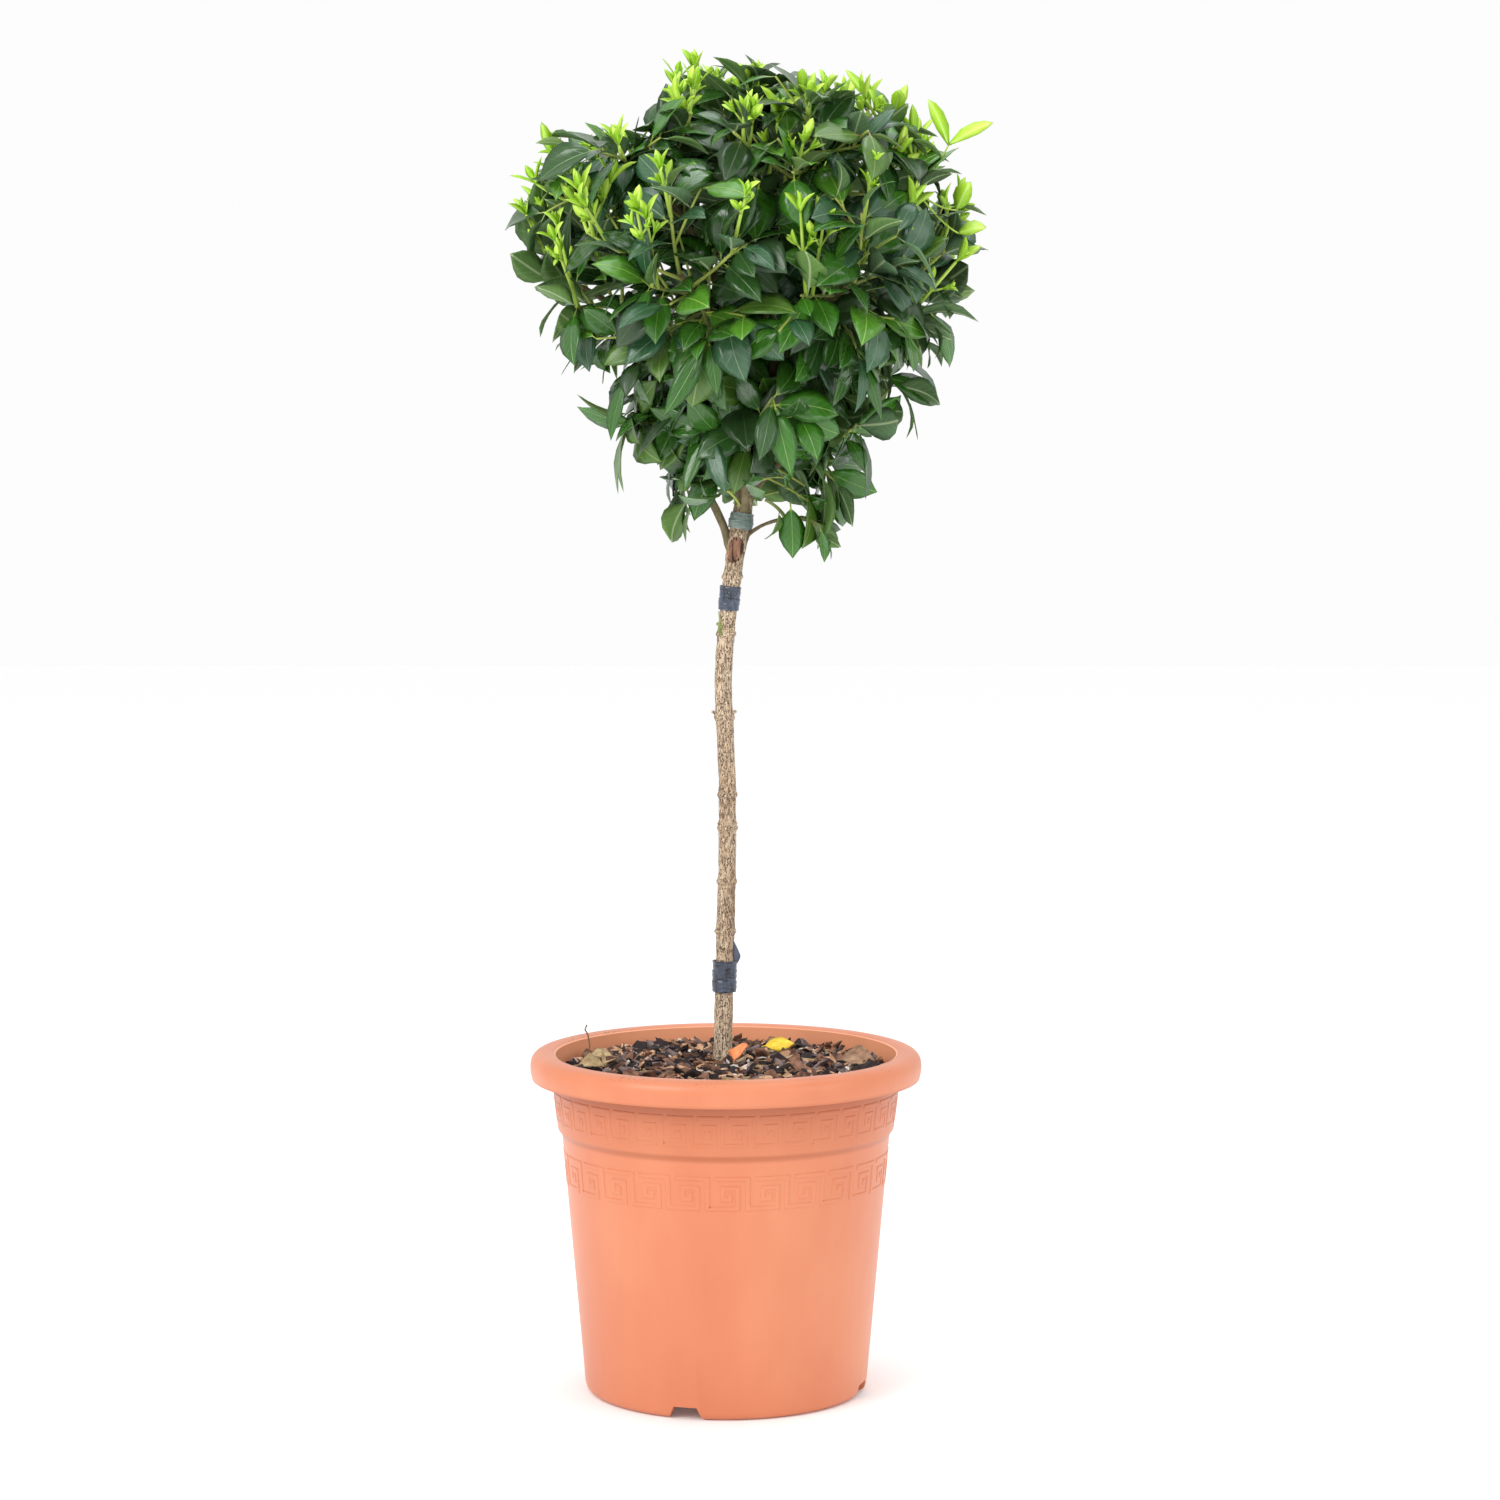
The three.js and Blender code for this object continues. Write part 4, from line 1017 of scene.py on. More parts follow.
# %% Stem bark
def stem_bark_finish():
    """Thin bark of a young stem. Cracks, flakes and pores are what make it read as wood."""
    material, tree, shader = new_material("laurustinus_stem_bark", 0.85)
    place = add_node(tree, "TexCoord", out="Object")
    height = add_node(tree, "SeparateXYZ", {0: place}, out="Z")
    # Broad patches are 29 mm wide and flakes 3.3 mm, both twice as tall. Cracks are 1.3 mm wide and
    # five times as tall. Real ones are finer; these are as wide as they need to be to show.
    noises = {}
    for kind, size, detail, stretch, roughness in (
        ("broad", 29.412, 5, 0.45, 0.62),
        ("flake", 3.3333, 4, 0.5, 0.7),
        ("crack", 1.3158, 4, 0.2, 0.75),
    ):
        drawn_out = add_node(tree, "Mapping", {"Vector": place, "Scale": (1, 1, stretch)})
        inputs = {"Vector": drawn_out, "Scale": scale_for(size)}
        inputs.update({"Detail": detail, "Roughness": roughness})
        noises[kind] = add_node(tree, "TexNoise", inputs)
    browns = [(0.32, "#8C755E"), (0.46, "#AD9174"), (0.56, "#C0A689"), (0.7, "#CEB99E")]
    bark = add_node(tree, "ValToRGB", {0: noises["broad"]}, stops=browns)
    pale = add_node(tree, "ValToRGB", {0: noises["flake"]}, stops=[(0.54, 0.0), (0.62, 0.7)])
    bark = add_node(tree, "Mix", {0: pale, 6: bark, 7: "#DFCFB7"}, **MIX_COLOURS)
    # Painted light makes the bark paler at the stem's foot and again above its middle;
    # heights are in metres.
    painted_light_bands = [(0.4, 0.55), (0.5, 0.1), (0.62, 0.1), (0.72, 0.45), (0.88, 0.3)]
    painted_light = add_node(tree, "ValToRGB", {0: height}, stops=painted_light_bands)
    bark = add_node(tree, "Mix", {0: painted_light, 6: bark, 7: "#E2CDB0"}, **MIX_COLOURS)
    cracks = add_node(tree, "ValToRGB", {0: noises["crack"]}, stops=[(0.42, 1.0), (0.5, 0.0)])
    crack_dark = add_node(tree, "Math", {0: cracks, 1: 0.85}, operation="MULTIPLY")
    bark = add_node(tree, "Mix", {0: crack_dark, 6: bark, 7: "#5E4735"}, **MIX_COLOURS)
    # A cell is 1.6 mm wide and has a pore of its own size in its middle.
    taller = add_node(tree, "Mapping", {"Vector": place, "Scale": (1, 1, 0.7)})
    pattern = {"Vector": taller, "Scale": scale_for(1.5625), "Randomness": 1.0}
    from_middle = add_node(tree, "TexVoronoi", pattern, out="Distance")
    cell_colour = from_middle.node.outputs["Color"]
    some = add_node(tree, "SeparateColor", {0: cell_colour})
    reach = add_node(tree, "Math", {0: some, 1: 0.5}, operation="MULTIPLY")
    spot = add_node(tree, "Math", {0: reach, 1: from_middle}, operation="SUBTRACT")
    raised = add_node(tree, "Math", {0: spot, 1: 0.5}, operation="ADD")
    pores = add_node(tree, "ValToRGB", {0: raised}, stops=[(0.46, 0.0), (0.53, 1.0)])
    pore_dark = add_node(tree, "Math", {0: pores, 1: 0.9}, operation="MULTIPLY")
    bark = add_node(tree, "Mix", {0: pore_dark, 6: bark, 7: "#442F22"}, **MIX_COLOURS)
    # Inside the crown, above the fork, the bark is darker: painted shade of the leaves over it.
    shady = add_node(tree, "ValToRGB", {0: height}, stops=[(0.89, 0.0), (0.94, 0.6)])
    bark = add_node(tree, "Mix", {0: shady, 6: bark, 7: "#5C4936"}, **MIX_COLOURS)
    sunk = add_node(tree, "Math", {0: cracks, 1: -1.0}, operation="MULTIPLY")
    proud = add_node(tree, "Math", {0: pores, 1: 0.5}, operation="MULTIPLY")
    surface = add_node(tree, "Math", {0: sunk, 1: proud}, operation="ADD")
    relief = add_node(tree, "Bump", {"Height": surface, "Distance": 0.4 * MM, "Strength": 0.9})
    set_inputs(tree, shader, {"Base Color": bark, "Normal": relief})
    return material


# %% Weathered cut wood
def cut_wood_finish():
    """Old cut wood. Its upright splits tell it from the bark round it."""
    material, tree, shader = new_material("weathered_cut_wood", 0.85)
    place = add_node(tree, "TexCoord", out="Object")
    # The grain is 4.2 mm wide and the splits are 3 mm wide, both drawn out upwards.
    tall = add_node(tree, "Mapping", {"Vector": place, "Scale": (1, 1, 0.4)})
    taller = add_node(tree, "Mapping", {"Vector": place, "Scale": (1, 1, 0.16)})
    grain = add_node(tree, "TexNoise", {"Vector": tall, "Scale": scale_for(4.1667), "Detail": 3})
    split = add_node(tree, "TexNoise", {"Vector": taller, "Scale": scale_for(3.0303), "Detail": 3})
    browns = [(0.3, "#664636"), (0.55, "#936A52"), (0.8, "#B08B70")]
    wood = add_node(tree, "ValToRGB", {0: grain}, stops=browns)
    splits = add_node(tree, "ValToRGB", {0: split}, stops=[(0.43, 0.95), (0.49, 0.0)])
    colour = add_node(tree, "Mix", {0: splits, 6: wood, 7: "#2E1B12"}, **MIX_COLOURS)
    surface = add_node(tree, "Math", {0: grain, 1: splits}, operation="SUBTRACT")
    relief = add_node(tree, "Bump", {"Height": surface, "Distance": 0.6 * MM, "Strength": 1.0})
    set_inputs(tree, shader, {"Base Color": colour, "Normal": relief})
    return material


# %% Bough bark
def bough_bark_finish():
    """Bark of the boughs: darker and greener than the stem's; its darkness is painted shade of the
    crown.
    """
    material, tree, shader = new_material("laurustinus_bough_bark", 0.75)
    place = add_node(tree, "TexCoord", out="Object")
    # Patches are 25 mm wide. Cracks are 2.4 mm wide, coarser than real ones, and four times as tall.
    tall = add_node(tree, "Mapping", {"Vector": place, "Scale": (1, 1, 0.25)})
    broad = add_node(tree, "TexNoise", {"Vector": place, "Scale": scale_for(25), "Detail": 3})
    crack = add_node(tree, "TexNoise", {"Vector": tall, "Scale": scale_for(2.381), "Detail": 3})
    browns = [(0.3, "#5D5038"), (0.55, "#766848"), (0.75, "#8C8160")]
    bark = add_node(tree, "ValToRGB", {0: broad}, stops=browns)
    dark = add_node(tree, "ValToRGB", {0: crack}, stops=[(0.35, 0.55), (0.5, 0.0)])
    colour = add_node(tree, "Mix", {0: dark, 6: bark, 7: "#3F3526"}, **MIX_COLOURS)
    relief = add_node(tree, "Bump", {"Height": crack, "Distance": 0.25 * MM, "Strength": 1.0})
    set_inputs(tree, shader, {"Base Color": colour, "Normal": relief})
    return material


# %% Tape film
def tape_finish(name, dark, light, roughness):
    """Stretched film: glossy, with fine upright wrinkles where it was pulled tight, and painted
    highlights.
    """
    material, tree, shader = new_material(name, roughness, specular=0.6)
    place = add_node(tree, "TexCoord", out="Object")
    # Wrinkles are 3 mm wide and three times as tall; patches of painted highlight are 22 mm wide.
    tall = add_node(tree, "Mapping", {"Vector": place, "Scale": (1, 1, 0.3)})
    sheen_patch = add_node(tree, "TexNoise", {"Vector": place, "Scale": scale_for(22.222), "Detail": 2})
    wrinkle = add_node(tree, "TexNoise", {"Vector": tall, "Scale": scale_for(3.0303), "Detail": 3})
    patch_tone = add_node(tree, "Math", {0: sheen_patch, 1: 0.6}, operation="MULTIPLY")
    amount = add_node(tree, "Math", {0: wrinkle, 1: 0.5, 2: patch_tone}, operation="MULTIPLY_ADD")
    # The lighter colour along the wrinkles and in the patches is a painted highlight of the gloss.
    colour = add_node(tree, "ValToRGB", {0: amount}, stops=[(0.42, dark), (0.72, light)])
    relief = add_node(tree, "Bump", {"Height": wrinkle, "Distance": 0.6 * MM, "Strength": 0.9})
    set_inputs(tree, shader, {"Base Color": colour, "Normal": relief})
    return material


stem_bark = stem_bark_finish()
wear(stem, [stem_bark, cut_wood_finish()], "stem_bark", "trunk")
wear(stubs, [stem_bark], "stem_bark")
dark_tape = tape_finish("stretch_tape_blue_black", "#0E1219", "#4C576C", 0.24)
grey_tape = tape_finish("grafting_tape_grey", "#5F6E6A", "#7E8E88", 0.5)
wear(tape_lower, [dark_tape], "tie_tape", "tie_lower")
wear(tape_upper, [dark_tape], "tie_tape", "tie_upper")
wear(loose_end, [dark_tape], "tie_tape")
wear(grey_band, [grey_tape], "stem_tape", "stem_band")

# %% [markdown]
# ## The plan of the crown
# The head is built as the tree builds it: limbs leave the stem in rings, each ends in the heart
# of its own mass of leaves, and twig tips are spread evenly under the crown's outline. The same
# named sizes and the same seeds as in the solids put every limb and main twig where they are.

# %% Hearts of the masses
# A bough is bare as far as this share of its limb, and this thick there. Beyond, it is a mass's.
BOUGH_END = 0.62
BOUGH_TIP = 3.4
GOLDEN_ANGLE = math.pi * (3 - math.sqrt(5))
# The crown's left shoulder is lower than its top.
SHOULDER = {"x": -60.0, "z": 1287.0, "tips": 40.0}
SIDE_SHOOT = {"heart": Vector((76, -25, 892)), "reach": 58, "foot": 872, "spread": 20}
CROWN = {"x": 20.0, "widest": 1170.0, "radius": 248.0, "rise": 190.0, "drop": 330.0}
# Each ring of limbs: name, how many, how far out and how high their hearts are, the first one's
# turn, the first foot's height and the step to the next, and the bough's radius at its foot.
RINGS = [
    ("low", 4, 90, 968, -90, 904, 12, 4.4), ("mid", 6, 158, 1128, 8, 940, 25, 5.4),
    ("upper", 3, 118, 1246, 70, 1012, 22, 4.4), ("top", 1, 0, 1280, 0, 1112, 0, 3.6),
]


def crown_half(above):
    """How far the crown reaches up or down from its widest place, and how it curves there."""
    return (CROWN["rise"], 2.0) if above else (CROWN["drop"], 1.4)


def crown_level(point):
    """0 in the middle of the crown, 1 on its outline and more outside it."""
    if point[0] < SHOULDER["x"] and point[2] > SHOULDER["z"]:
        return 2.0
    reach, power = crown_half(point[2] >= CROWN["widest"])
    across = math.hypot(point[0] - CROWN["x"], point[1]) / CROWN["radius"]
    return across**power + (abs(point[2] - CROWN["widest"]) / reach) ** power


def crown_point(direction, inset):
    """The place under the outline that lies in a direction from the crown's middle."""
    reach, power = crown_half(direction.z >= 0)
    across = direction.xy.length / (CROWN["radius"] - inset)
    far = (across**power + (abs(direction.z) / (reach - inset)) ** power) ** (-1 / power)
    return direction * far + Vector((CROWN["x"], 0, CROWN["widest"]))


def crown_share(height):
    """0 at the foot of the crown and 1 at its top."""
    low = CROWN["widest"] - CROWN["drop"]
    return limit((height - low) / (CROWN["rise"] + CROWN["drop"]))


# %% Plan the masses and their limbs
def plan_masses():
    """Every mass's name, heart, limb and seed, drawn in the same order as in the solids."""
    draw = seeded(5)
    masses = []
    for name, count, out, height, turn, foot, step, bough in RINGS:
        for number in range(count):
            angle = math.radians(turn + 360 / count * number)
            x = CROWN["x"] + out * math.cos(angle) + draw(-9, 9)
            y = out * math.sin(angle) + draw(-9, 9)
            heart = Vector((x, y, height + draw(-9, 9)))
            full = name if count == 1 else f"{name}_{number + 1}"
            low = 866 if full == "low_4" else foot + step * (number % math.ceil(count / 2))
            masses.append({"name": full, "heart": heart, "foot": low, "bough": bough})
    heart, foot = SIDE_SHOOT["heart"], SIDE_SHOOT["foot"]
    masses.append({"name": "side_shoot", "heart": heart, "foot": foot, "bough": 3.2})
    for number, mass in enumerate(masses):
        mass["seed"] = 101 + 37 * number
        mass["curve"] = limb_curve(mass)
        mass["stem_start"] = 0 if mass["name"] == "top" else BOUGH_END
    return masses


def limb_curve(mass):
    """Start, bend and end of a limb, which leaves the stem steeply and bends outwards."""
    foot, heart = stem_centre(mass["foot"]), mass["heart"]
    if mass["name"] == "top":
        start = foot + UP * 0.3
        return [start, start.lerp(heart, 0.5), heart]
    out = Vector((heart.x - foot.x, heart.y - foot.y, 0))
    start = foot + out.normalized() * (stem_radius(mass["foot"]) - 2)
    bend = start + out * 0.3
    bend.z += (heart.z - foot.z) * 0.65 + 6
    return [start, bend, heart]


def on_curve(curve, share):
    """A place on a curve of three points, a share of the way along it."""
    start, bend, end = curve
    return start * (1 - share) ** 2 + bend * (2 * share * (1 - share)) + end * share**2


def heading_on(curve, share):
    """Which way the curve runs at that place."""
    start, bend, end = curve
    return ((bend - start) * (1 - share) + (end - bend) * share).normalized()


MASSES = plan_masses()
HEARTS = np.array([mass["heart"] for mass in MASSES])
print("Masses of leaves:", len(MASSES))

# %% [markdown]
# A leaf that cuts through a limb looks wrong, so limbs are sampled as rows of balls, and every
# leaf has to be clear of them. A twig or a main leaf also has to lie nearer to its own mass's
# heart than to any other, so that it stands for its own solid. Small leaves may cross over.

# %% Keeping clear of the limbs and within the crown
def limb_samples():
    """Points and radii along the stem and the boughs."""
    points = []
    for height in range(840, 1112, 4):
        points.append((*stem_centre(height), stem_radius(height)))
    for mass in MASSES:
        if mass["name"] == "top":
            continue
        for step in range(31):
            radius = blend(mass["bough"], BOUGH_TIP, step / 30)
            points.append((*on_curve(mass["curve"], step / 30 * BOUGH_END), radius))
    return np.array(points)


LIMBS = limb_samples()


def clear_of_limbs(points, spare):
    """Whether every point keeps `spare` mm off the stem and the boughs."""
    points = np.asarray(points, float).reshape(-1, 3)
    apart = ((points[:, None, :] - LIMBS[None, :, :3]) ** 2).sum(2)
    return bool((apart > (LIMBS[None, :, 3] + spare) ** 2).all())


def in_space(mass, points, spare):
    """Whether points lie nearer to this mass's heart than to another, and inside the crown."""
    heart = np.array(mass["heart"])
    points = np.asarray(points, float).reshape(-1, 3)
    if mass["name"] == "side_shoot":
        if (np.linalg.norm(points - heart, axis=1) > SIDE_SHOOT["reach"]).any():
            return False
    elif any(crown_level(point) > 1 for point in points):
        return False
    away = HEARTS - heart
    length = np.linalg.norm(away, axis=1)
    others = length > 1e-6
    sides = (points - heart) @ (away[others] / length[others, None]).T
    return bool((sides < length[others] / 2 - 0.6 - spare).all())


# %% Main twig tips
# How many twig tips lie in each layer, and how far under the outline, in mm.
TIP_LAYERS = ((66, 47), (8, 112))


def plan_tips():
    """Twig tips in two layers under the outline, round it by the golden angle."""
    draw = seeded(23)
    tips = []
    for count, inset in TIP_LAYERS:
        for number in range(count):
            rise = 1 - 2 * (number + 0.5) / count
            angle = GOLDEN_ANGLE * number
            across = math.sqrt(1 - rise * rise)
            way = Vector((across * math.cos(angle), across * math.sin(angle), rise))
            tip = crown_point(way, inset)
            tip.x += draw(-10, 10)
            tip.y += draw(-10, 10)
            tip.z += draw(-10, 10)
            if tip.x < SHOULDER["x"]:
                tip.z = min(tip.z, SHOULDER["z"] - SHOULDER["tips"])
            tips.append(tip)
    for turn in (-0.4, 0.7):
        out = Vector((math.cos(turn), math.sin(turn), -0.4)) * SIDE_SHOOT["spread"]
        tips.append(out + SIDE_SHOOT["heart"])
    return tips


def nearest_mass(point):
    """The mass whose heart lies nearest."""
    return min(MASSES, key=lambda mass: (point - mass["heart"]).length)


TIPS = plan_tips()
print("Main twig tips:", len(TIPS))

# %% [markdown]
# ## Twigs
# A twig leaves its limb, bends up high in the crown and hangs over low in it. It could be drawn by
# hand, but there are dozens; a rule with a seed gives each its own sway and keeps it where the
# solid has it. A twig whose bend leaves its space is straightened until it fits, or left out.

# %% Twigs
# In the solids a spring shoot stands only on a tip above this height, in mm.
SPRING_ABOVE = 1165


def outward_at(point):
    """Which way is outwards, and a little up, for a leaf that looks for light."""
    return (point - Vector((CROWN["x"], 0, CROWN["widest"] - 95))).normalized()


def twig_clear(mass, curve):
    """Whether a twig keeps to its mass's space and clear of the limbs."""
    places = [on_curve(curve, step / 8) for step in range(9)]
    widths = [blend(1.9, 1.4, step / 8) for step in range(9)]
    if not all(in_space(mass, place, width) for place, width in zip(places, widths)):
        return False
    return all(clear_of_limbs(p, w + 1) for p, w in zip(places[2:], widths[2:]))


def twig_curve(mass, start, heading, tip, draw):
    """The most bent of three courses that has room, or none."""
    length = (tip - start).length
    sag = blend(0.14, -0.2, crown_share(tip.z)) * length
    sway_x, sway_y = draw(-1, 1), draw(-1, 1)
    sway = Vector((sway_x, sway_y, 0)) * (0.1 * length)
    for strength in (1, 0.5, 0):
        bend = start.lerp(tip, 0.5) + heading * (0.07 * length * strength)
        bend += sway * strength + UP * (sag * strength)
        if twig_clear(mass, [start, bend, tip]):
            return [start, bend, tip]
    return None


def plan_twigs(mass, draw):
    """The main twigs of a mass, one for each tip nearest to its heart."""
    forward = heading_on(mass["curve"], 1)
    own = sorted((t for t in TIPS if nearest_mass(t) is mass), key=lambda tip: tip.dot(forward))
    twigs = []
    for number, tip in enumerate(own):
        share = blend(mass["stem_start"], 1, blend(0.12, 1, (number + 1) / len(own)))
        start = on_curve(mass["curve"], share)
        curve = twig_curve(mass, start, heading_on(mass["curve"], share), tip, draw)
        turn = draw(0, math.pi / 2)
        springs = draw(0, 1) < 0.33 and tip.z > SPRING_ABOVE
        if curve is not None:
            twigs.append({"curve": curve, "turn": turn, "springs": springs})
    return twigs


def twig_line(curve, foot, tip, end=1.0):
    """Points and radii along a twig, as far as a share of its length."""
    shares = [step / 8 for step in range(9)]
    return [(*on_curve(curve, share * end), blend(foot, tip, share)) for share in shares]


# %% [markdown]
# ## Leaves
# Leaves stand in opposite pairs, each pair turned a quarter from the last, and turn their upper
# sides to the light. The main pairs follow the solids. Side twigs and smaller pairs, with seeds of
# their own, then fill each twig out to what the real plant carries. Here a leaf is only a place,
# a direction and a size; the shape comes later, so that trying a thousand places stays quick.

# %% Leaves
LEAVES, SPRAYS, SHOOT_LEAVES = [], [], []
TWIG_LINES, SIDE_LINES, SHOOT_LINES = [], [], []
# A main leaf keeps to its mass's own space. A fine leaf stays well within the crown's outline
# or may reach a little beyond it, which leaves the outline ragged.
OUTLINE_SPARE = 0.3
FINE_LEVEL = ((0.74, 0.97), (1.04, 1.24))
# Below the fork the stem stands bare, and no leaf hangs in front of it or behind it.
BARE_STEM = {"below": 903.0, "around": 58.0}
# The head is more open at its lower left, and long leaves hang from the tips below a height.
OPEN_SIDE = {"left_of": -60.0, "below": 1190.0, "level": 0.9}
HANGING = {"below": 1085.0, "level": 1.24}
# A main leaf's shortest and longest length in mm, and where its pairs stand on a twig.
MAIN_LENGTHS = (62, 88)
MAIN_SHARES = (0.38, 0.6, 0.8, 0.98)


def on_open_side(point):
    """Whether a place is at the head's open lower left."""
    return point.x < OPEN_SIDE["left_of"] and point.z < OPEN_SIDE["below"]


# %% Whether a leaf has room
def leaf_frame(root, along, lift, roll):
    """Which way a leaf points and which way its upper side faces."""
    way = (along + UP * lift).normalized()
    light = outward_at(root) * 0.9 + UP * 0.6
    light -= way * light.dot(way)
    light.normalize()
    return way, Quaternion(way, roll) @ light


def beside_bare_stem(point):
    """Whether a place is in front of the bare stem, beside it or behind it."""
    away = abs(point[0] - STEM_BENDS[-2][0])
    return point[2] < BARE_STEM["below"] and away < BARE_STEM["around"]


def leaf_fits(root, way, face, length, broad, mass=None, level=1.0):
    """Whether a leaf's corners keep to its space, and its blade clear of the limbs."""
    across = way.cross(face)
    half = length * broad / 2
    middle = root + way * (0.44 * length) + face * (0.06 * length)
    tip = root + way * length
    ends = [root, tip, middle + across * half, middle - across * half]
    own_twig = mass is not None and mass["name"] == "side_shoot"
    if not own_twig and any(beside_bare_stem(point) for point in ends[1:]):
        return False
    if mass is None:
        if any(crown_level(point) > level for point in ends):
            return False
    elif not in_space(mass, ends, OUTLINE_SPARE):
        return False
    inner = [root.lerp(tip, share) + across * (half * side)
             for share in (0.25, 0.5, 0.75) for side in (-0.8, 0, 0.8)]
    return clear_of_limbs(inner, 2.2)


def keep_leaf(root, way, face, length, broad):
    """Notes a leaf, and the spray it belongs to."""
    LEAVES.append((*root, *way, *face, length, broad, len(SPRAYS) - 1))


# %% Pairs of leaves
def main_pair(mass, draw, root, heading, turn, opening, size):
    """An opposite pair of full leaves, as in the solids."""
    level = Vector((-root.y, root.x - CROWN["x"], 0.01)).normalized()
    side = Quaternion(heading, turn) @ (level - heading * heading.dot(level)).normalized()
    droop_base = blend(0.85, 0.12, crown_share(root.z))
    for sign in (1, -1):
        length = draw(*MAIN_LENGTHS) * size
        droop = droop_base + draw(-1, 1) * 0.18
        roll = draw(-0.45, 0.45)
        along = heading * math.cos(opening) + side * (sign * math.sin(opening)) - UP * droop
        narrow = mass["name"] == "side_shoot"
        for scale, lift in ((1, 0), (1, 0.4), (0.8, 0), (0.8, 0.4), (0.7, 0.1)):
            way, face = leaf_frame(root, along, lift, roll)
            if leaf_fits(root, way, face, length * scale, 0.48, mass):
                keep_leaf(root, way, face, length * scale, 0.38 if narrow else 0.46)
                break


def fine_pair(draw, root, heading, turn, longest, opening=1.0):
    """A pair of smaller leaves on a side twig or between the main pairs."""
    level = heading.cross(Vector((0.13, 0.21, 0.97))).normalized()
    side = Quaternion(heading, turn) @ level
    droop_base = blend(0.95, 0.1, crown_share(root.z))
    for sign in (1, -1):
        length = draw(0.72, 1.0) * longest
        droop = droop_base + draw(-0.25, 0.3)
        roll = draw(-0.6, 0.6)
        broad = draw(0.41, 0.56)
        along = heading * math.cos(opening) + side * (sign * math.sin(opening)) - UP * droop
        farthest = draw(*FINE_LEVEL[draw(0, 1) > 0.45]) - 0.3 * limit((root.z - 1235) / 60)
        if on_open_side(root):
            farthest = min(farthest, OPEN_SIDE["level"])
        for scale, lift in ((1, 0), (0.8, 0.35), (0.66, 0)):
            way, face = leaf_frame(root, along, lift, roll)
            if leaf_fits(root, way, face, length * scale, broad, level=farthest):
                keep_leaf(root, way, face, length * scale, broad)
                break


# %% Side twigs and inner sprays
def side_twig(draw, start, heading, turn, length):
    """A short side twig with two pairs, the last at its tip."""
    level = heading.cross(Vector((0.13, 0.21, 0.97))).normalized()
    out = Quaternion(heading, turn) @ level
    way = (heading * 0.75 + out * 0.9 + outward_at(start) * 0.35).normalized()
    tip = start + way * length + UP * (blend(-0.25, 0.2, crown_share(start.z)) * length)
    if crown_level(tip) > 0.93 or not clear_of_limbs([start.lerp(tip, 0.6), tip], 3):
        return
    curve = [start, start.lerp(tip, 0.5) + UP * (0.06 * length), tip]
    leafy_twig(draw, curve, (0.62, 0.99))


def leafy_twig(draw, curve, shares):
    """A side twig along a curve, with a pair of leaves at each share of its length.

    It ends at the last pair that has room, so no bare twig is left.
    """
    SPRAYS.append(curve[2])
    spin = draw(0, math.pi)
    reach = 0
    for number, share in enumerate(shares):
        before = len(LEAVES)
        fine_pair(draw, on_curve(curve, share), heading_on(curve, share),
                  spin + number * math.pi / 2, 84 - 8 * number, blend(1.15, 0.8, share))
        if len(LEAVES) > before:
            reach = share + 0.01
    if reach:
        SIDE_LINES.append(twig_line(curve, 1.5, 1.1, end=reach))


def inner_sprays():
    """Short leafy twigs from the top of the stem and along the boughs."""
    draw = seeded(404)
    for number in range(26):
        height = 902 + 6.5 * number
        turn = GOLDEN_ANGLE * number - 1.9
        out = Vector((math.cos(turn), math.sin(turn), 0))
        start = stem_centre(height) + out * (stem_radius(height) - 1)
        length = draw(46, 78) * blend(1.0, 1.5, limit((height - 960) / 100))
        tip = start + out * length + UP * (draw(0.0, 0.35) * length)
        bend = start.lerp(tip, 0.45) + UP * (0.16 * length)
        if crown_level(tip) < 0.97:
            leafy_twig(draw, [start, bend, tip], (0.45, 0.75, 0.99))
    for mass in MASSES:
        if mass["name"] == "side_shoot":
            continue
        for share in (0.22, 0.36, 0.5, 0.66, 0.84):
            for sign in (1, -1):
                side_twig(draw, on_curve(mass["curve"], share), heading_on(mass["curve"], share),
                          sign * math.pi / 2 + draw(-0.5, 0.5), draw(40, 66))


# %% Leaves that hang
def hanging_pair(draw, root, out):
    """Two long narrow leaves that hang nearly straight down from a low twig's tip."""
    for sign in (1, -1):
        length = draw(60, 94)
        broad = draw(0.21, 0.33)
        across = Quaternion(UP, sign * draw(0.4, 1.2)) @ out
        way = (across * draw(0.25, 0.7) - UP).normalized()
        face = (out + UP * 0.2 + across * draw(-0.8, 0.8)).normalized()
        face = (face - way * face.dot(way)).normalized()
        if leaf_fits(root, way, face, length, broad, level=HANGING["level"]):
            keep_leaf(root, way, face, length, broad)


# %% [markdown]
# ## Spring shoots
# In spring pale stems rise from the twigs near the top, and each ends in a tuft like a small
# tulip. They break the head's outline, so they are what makes it look unclipped. A tuft is two
# pairs of small leaves, and each shoot tries shorter lengths until it fits under its limit.

# %% Spring shoots
SHOOT_LEVEL = 1.06


def tuft(draw, top, way, size):
    """A tulip-like tuft: an open pair of small leaves round a closed pair."""
    level = way.cross(Vector((0.31, 0.17, 0.2))).normalized()
    spin = draw(0, math.pi)
    for turn, opening, scale in ((0.0, draw(0.4, 0.75), 1.0), (math.pi / 2, draw(0.12, 0.28), 0.8)):
        side = Quaternion(way, spin + turn) @ level
        for out in (side, -side):
            long = draw(24, 31) * size * scale
            along = (way * math.cos(opening) + out * math.sin(opening)).normalized()
            face = (way * math.sin(opening) - out * math.cos(opening)).normalized()
            SHOOT_LEAVES.append((*(top - way), *along, *face, long, draw(0.31, 0.42)))


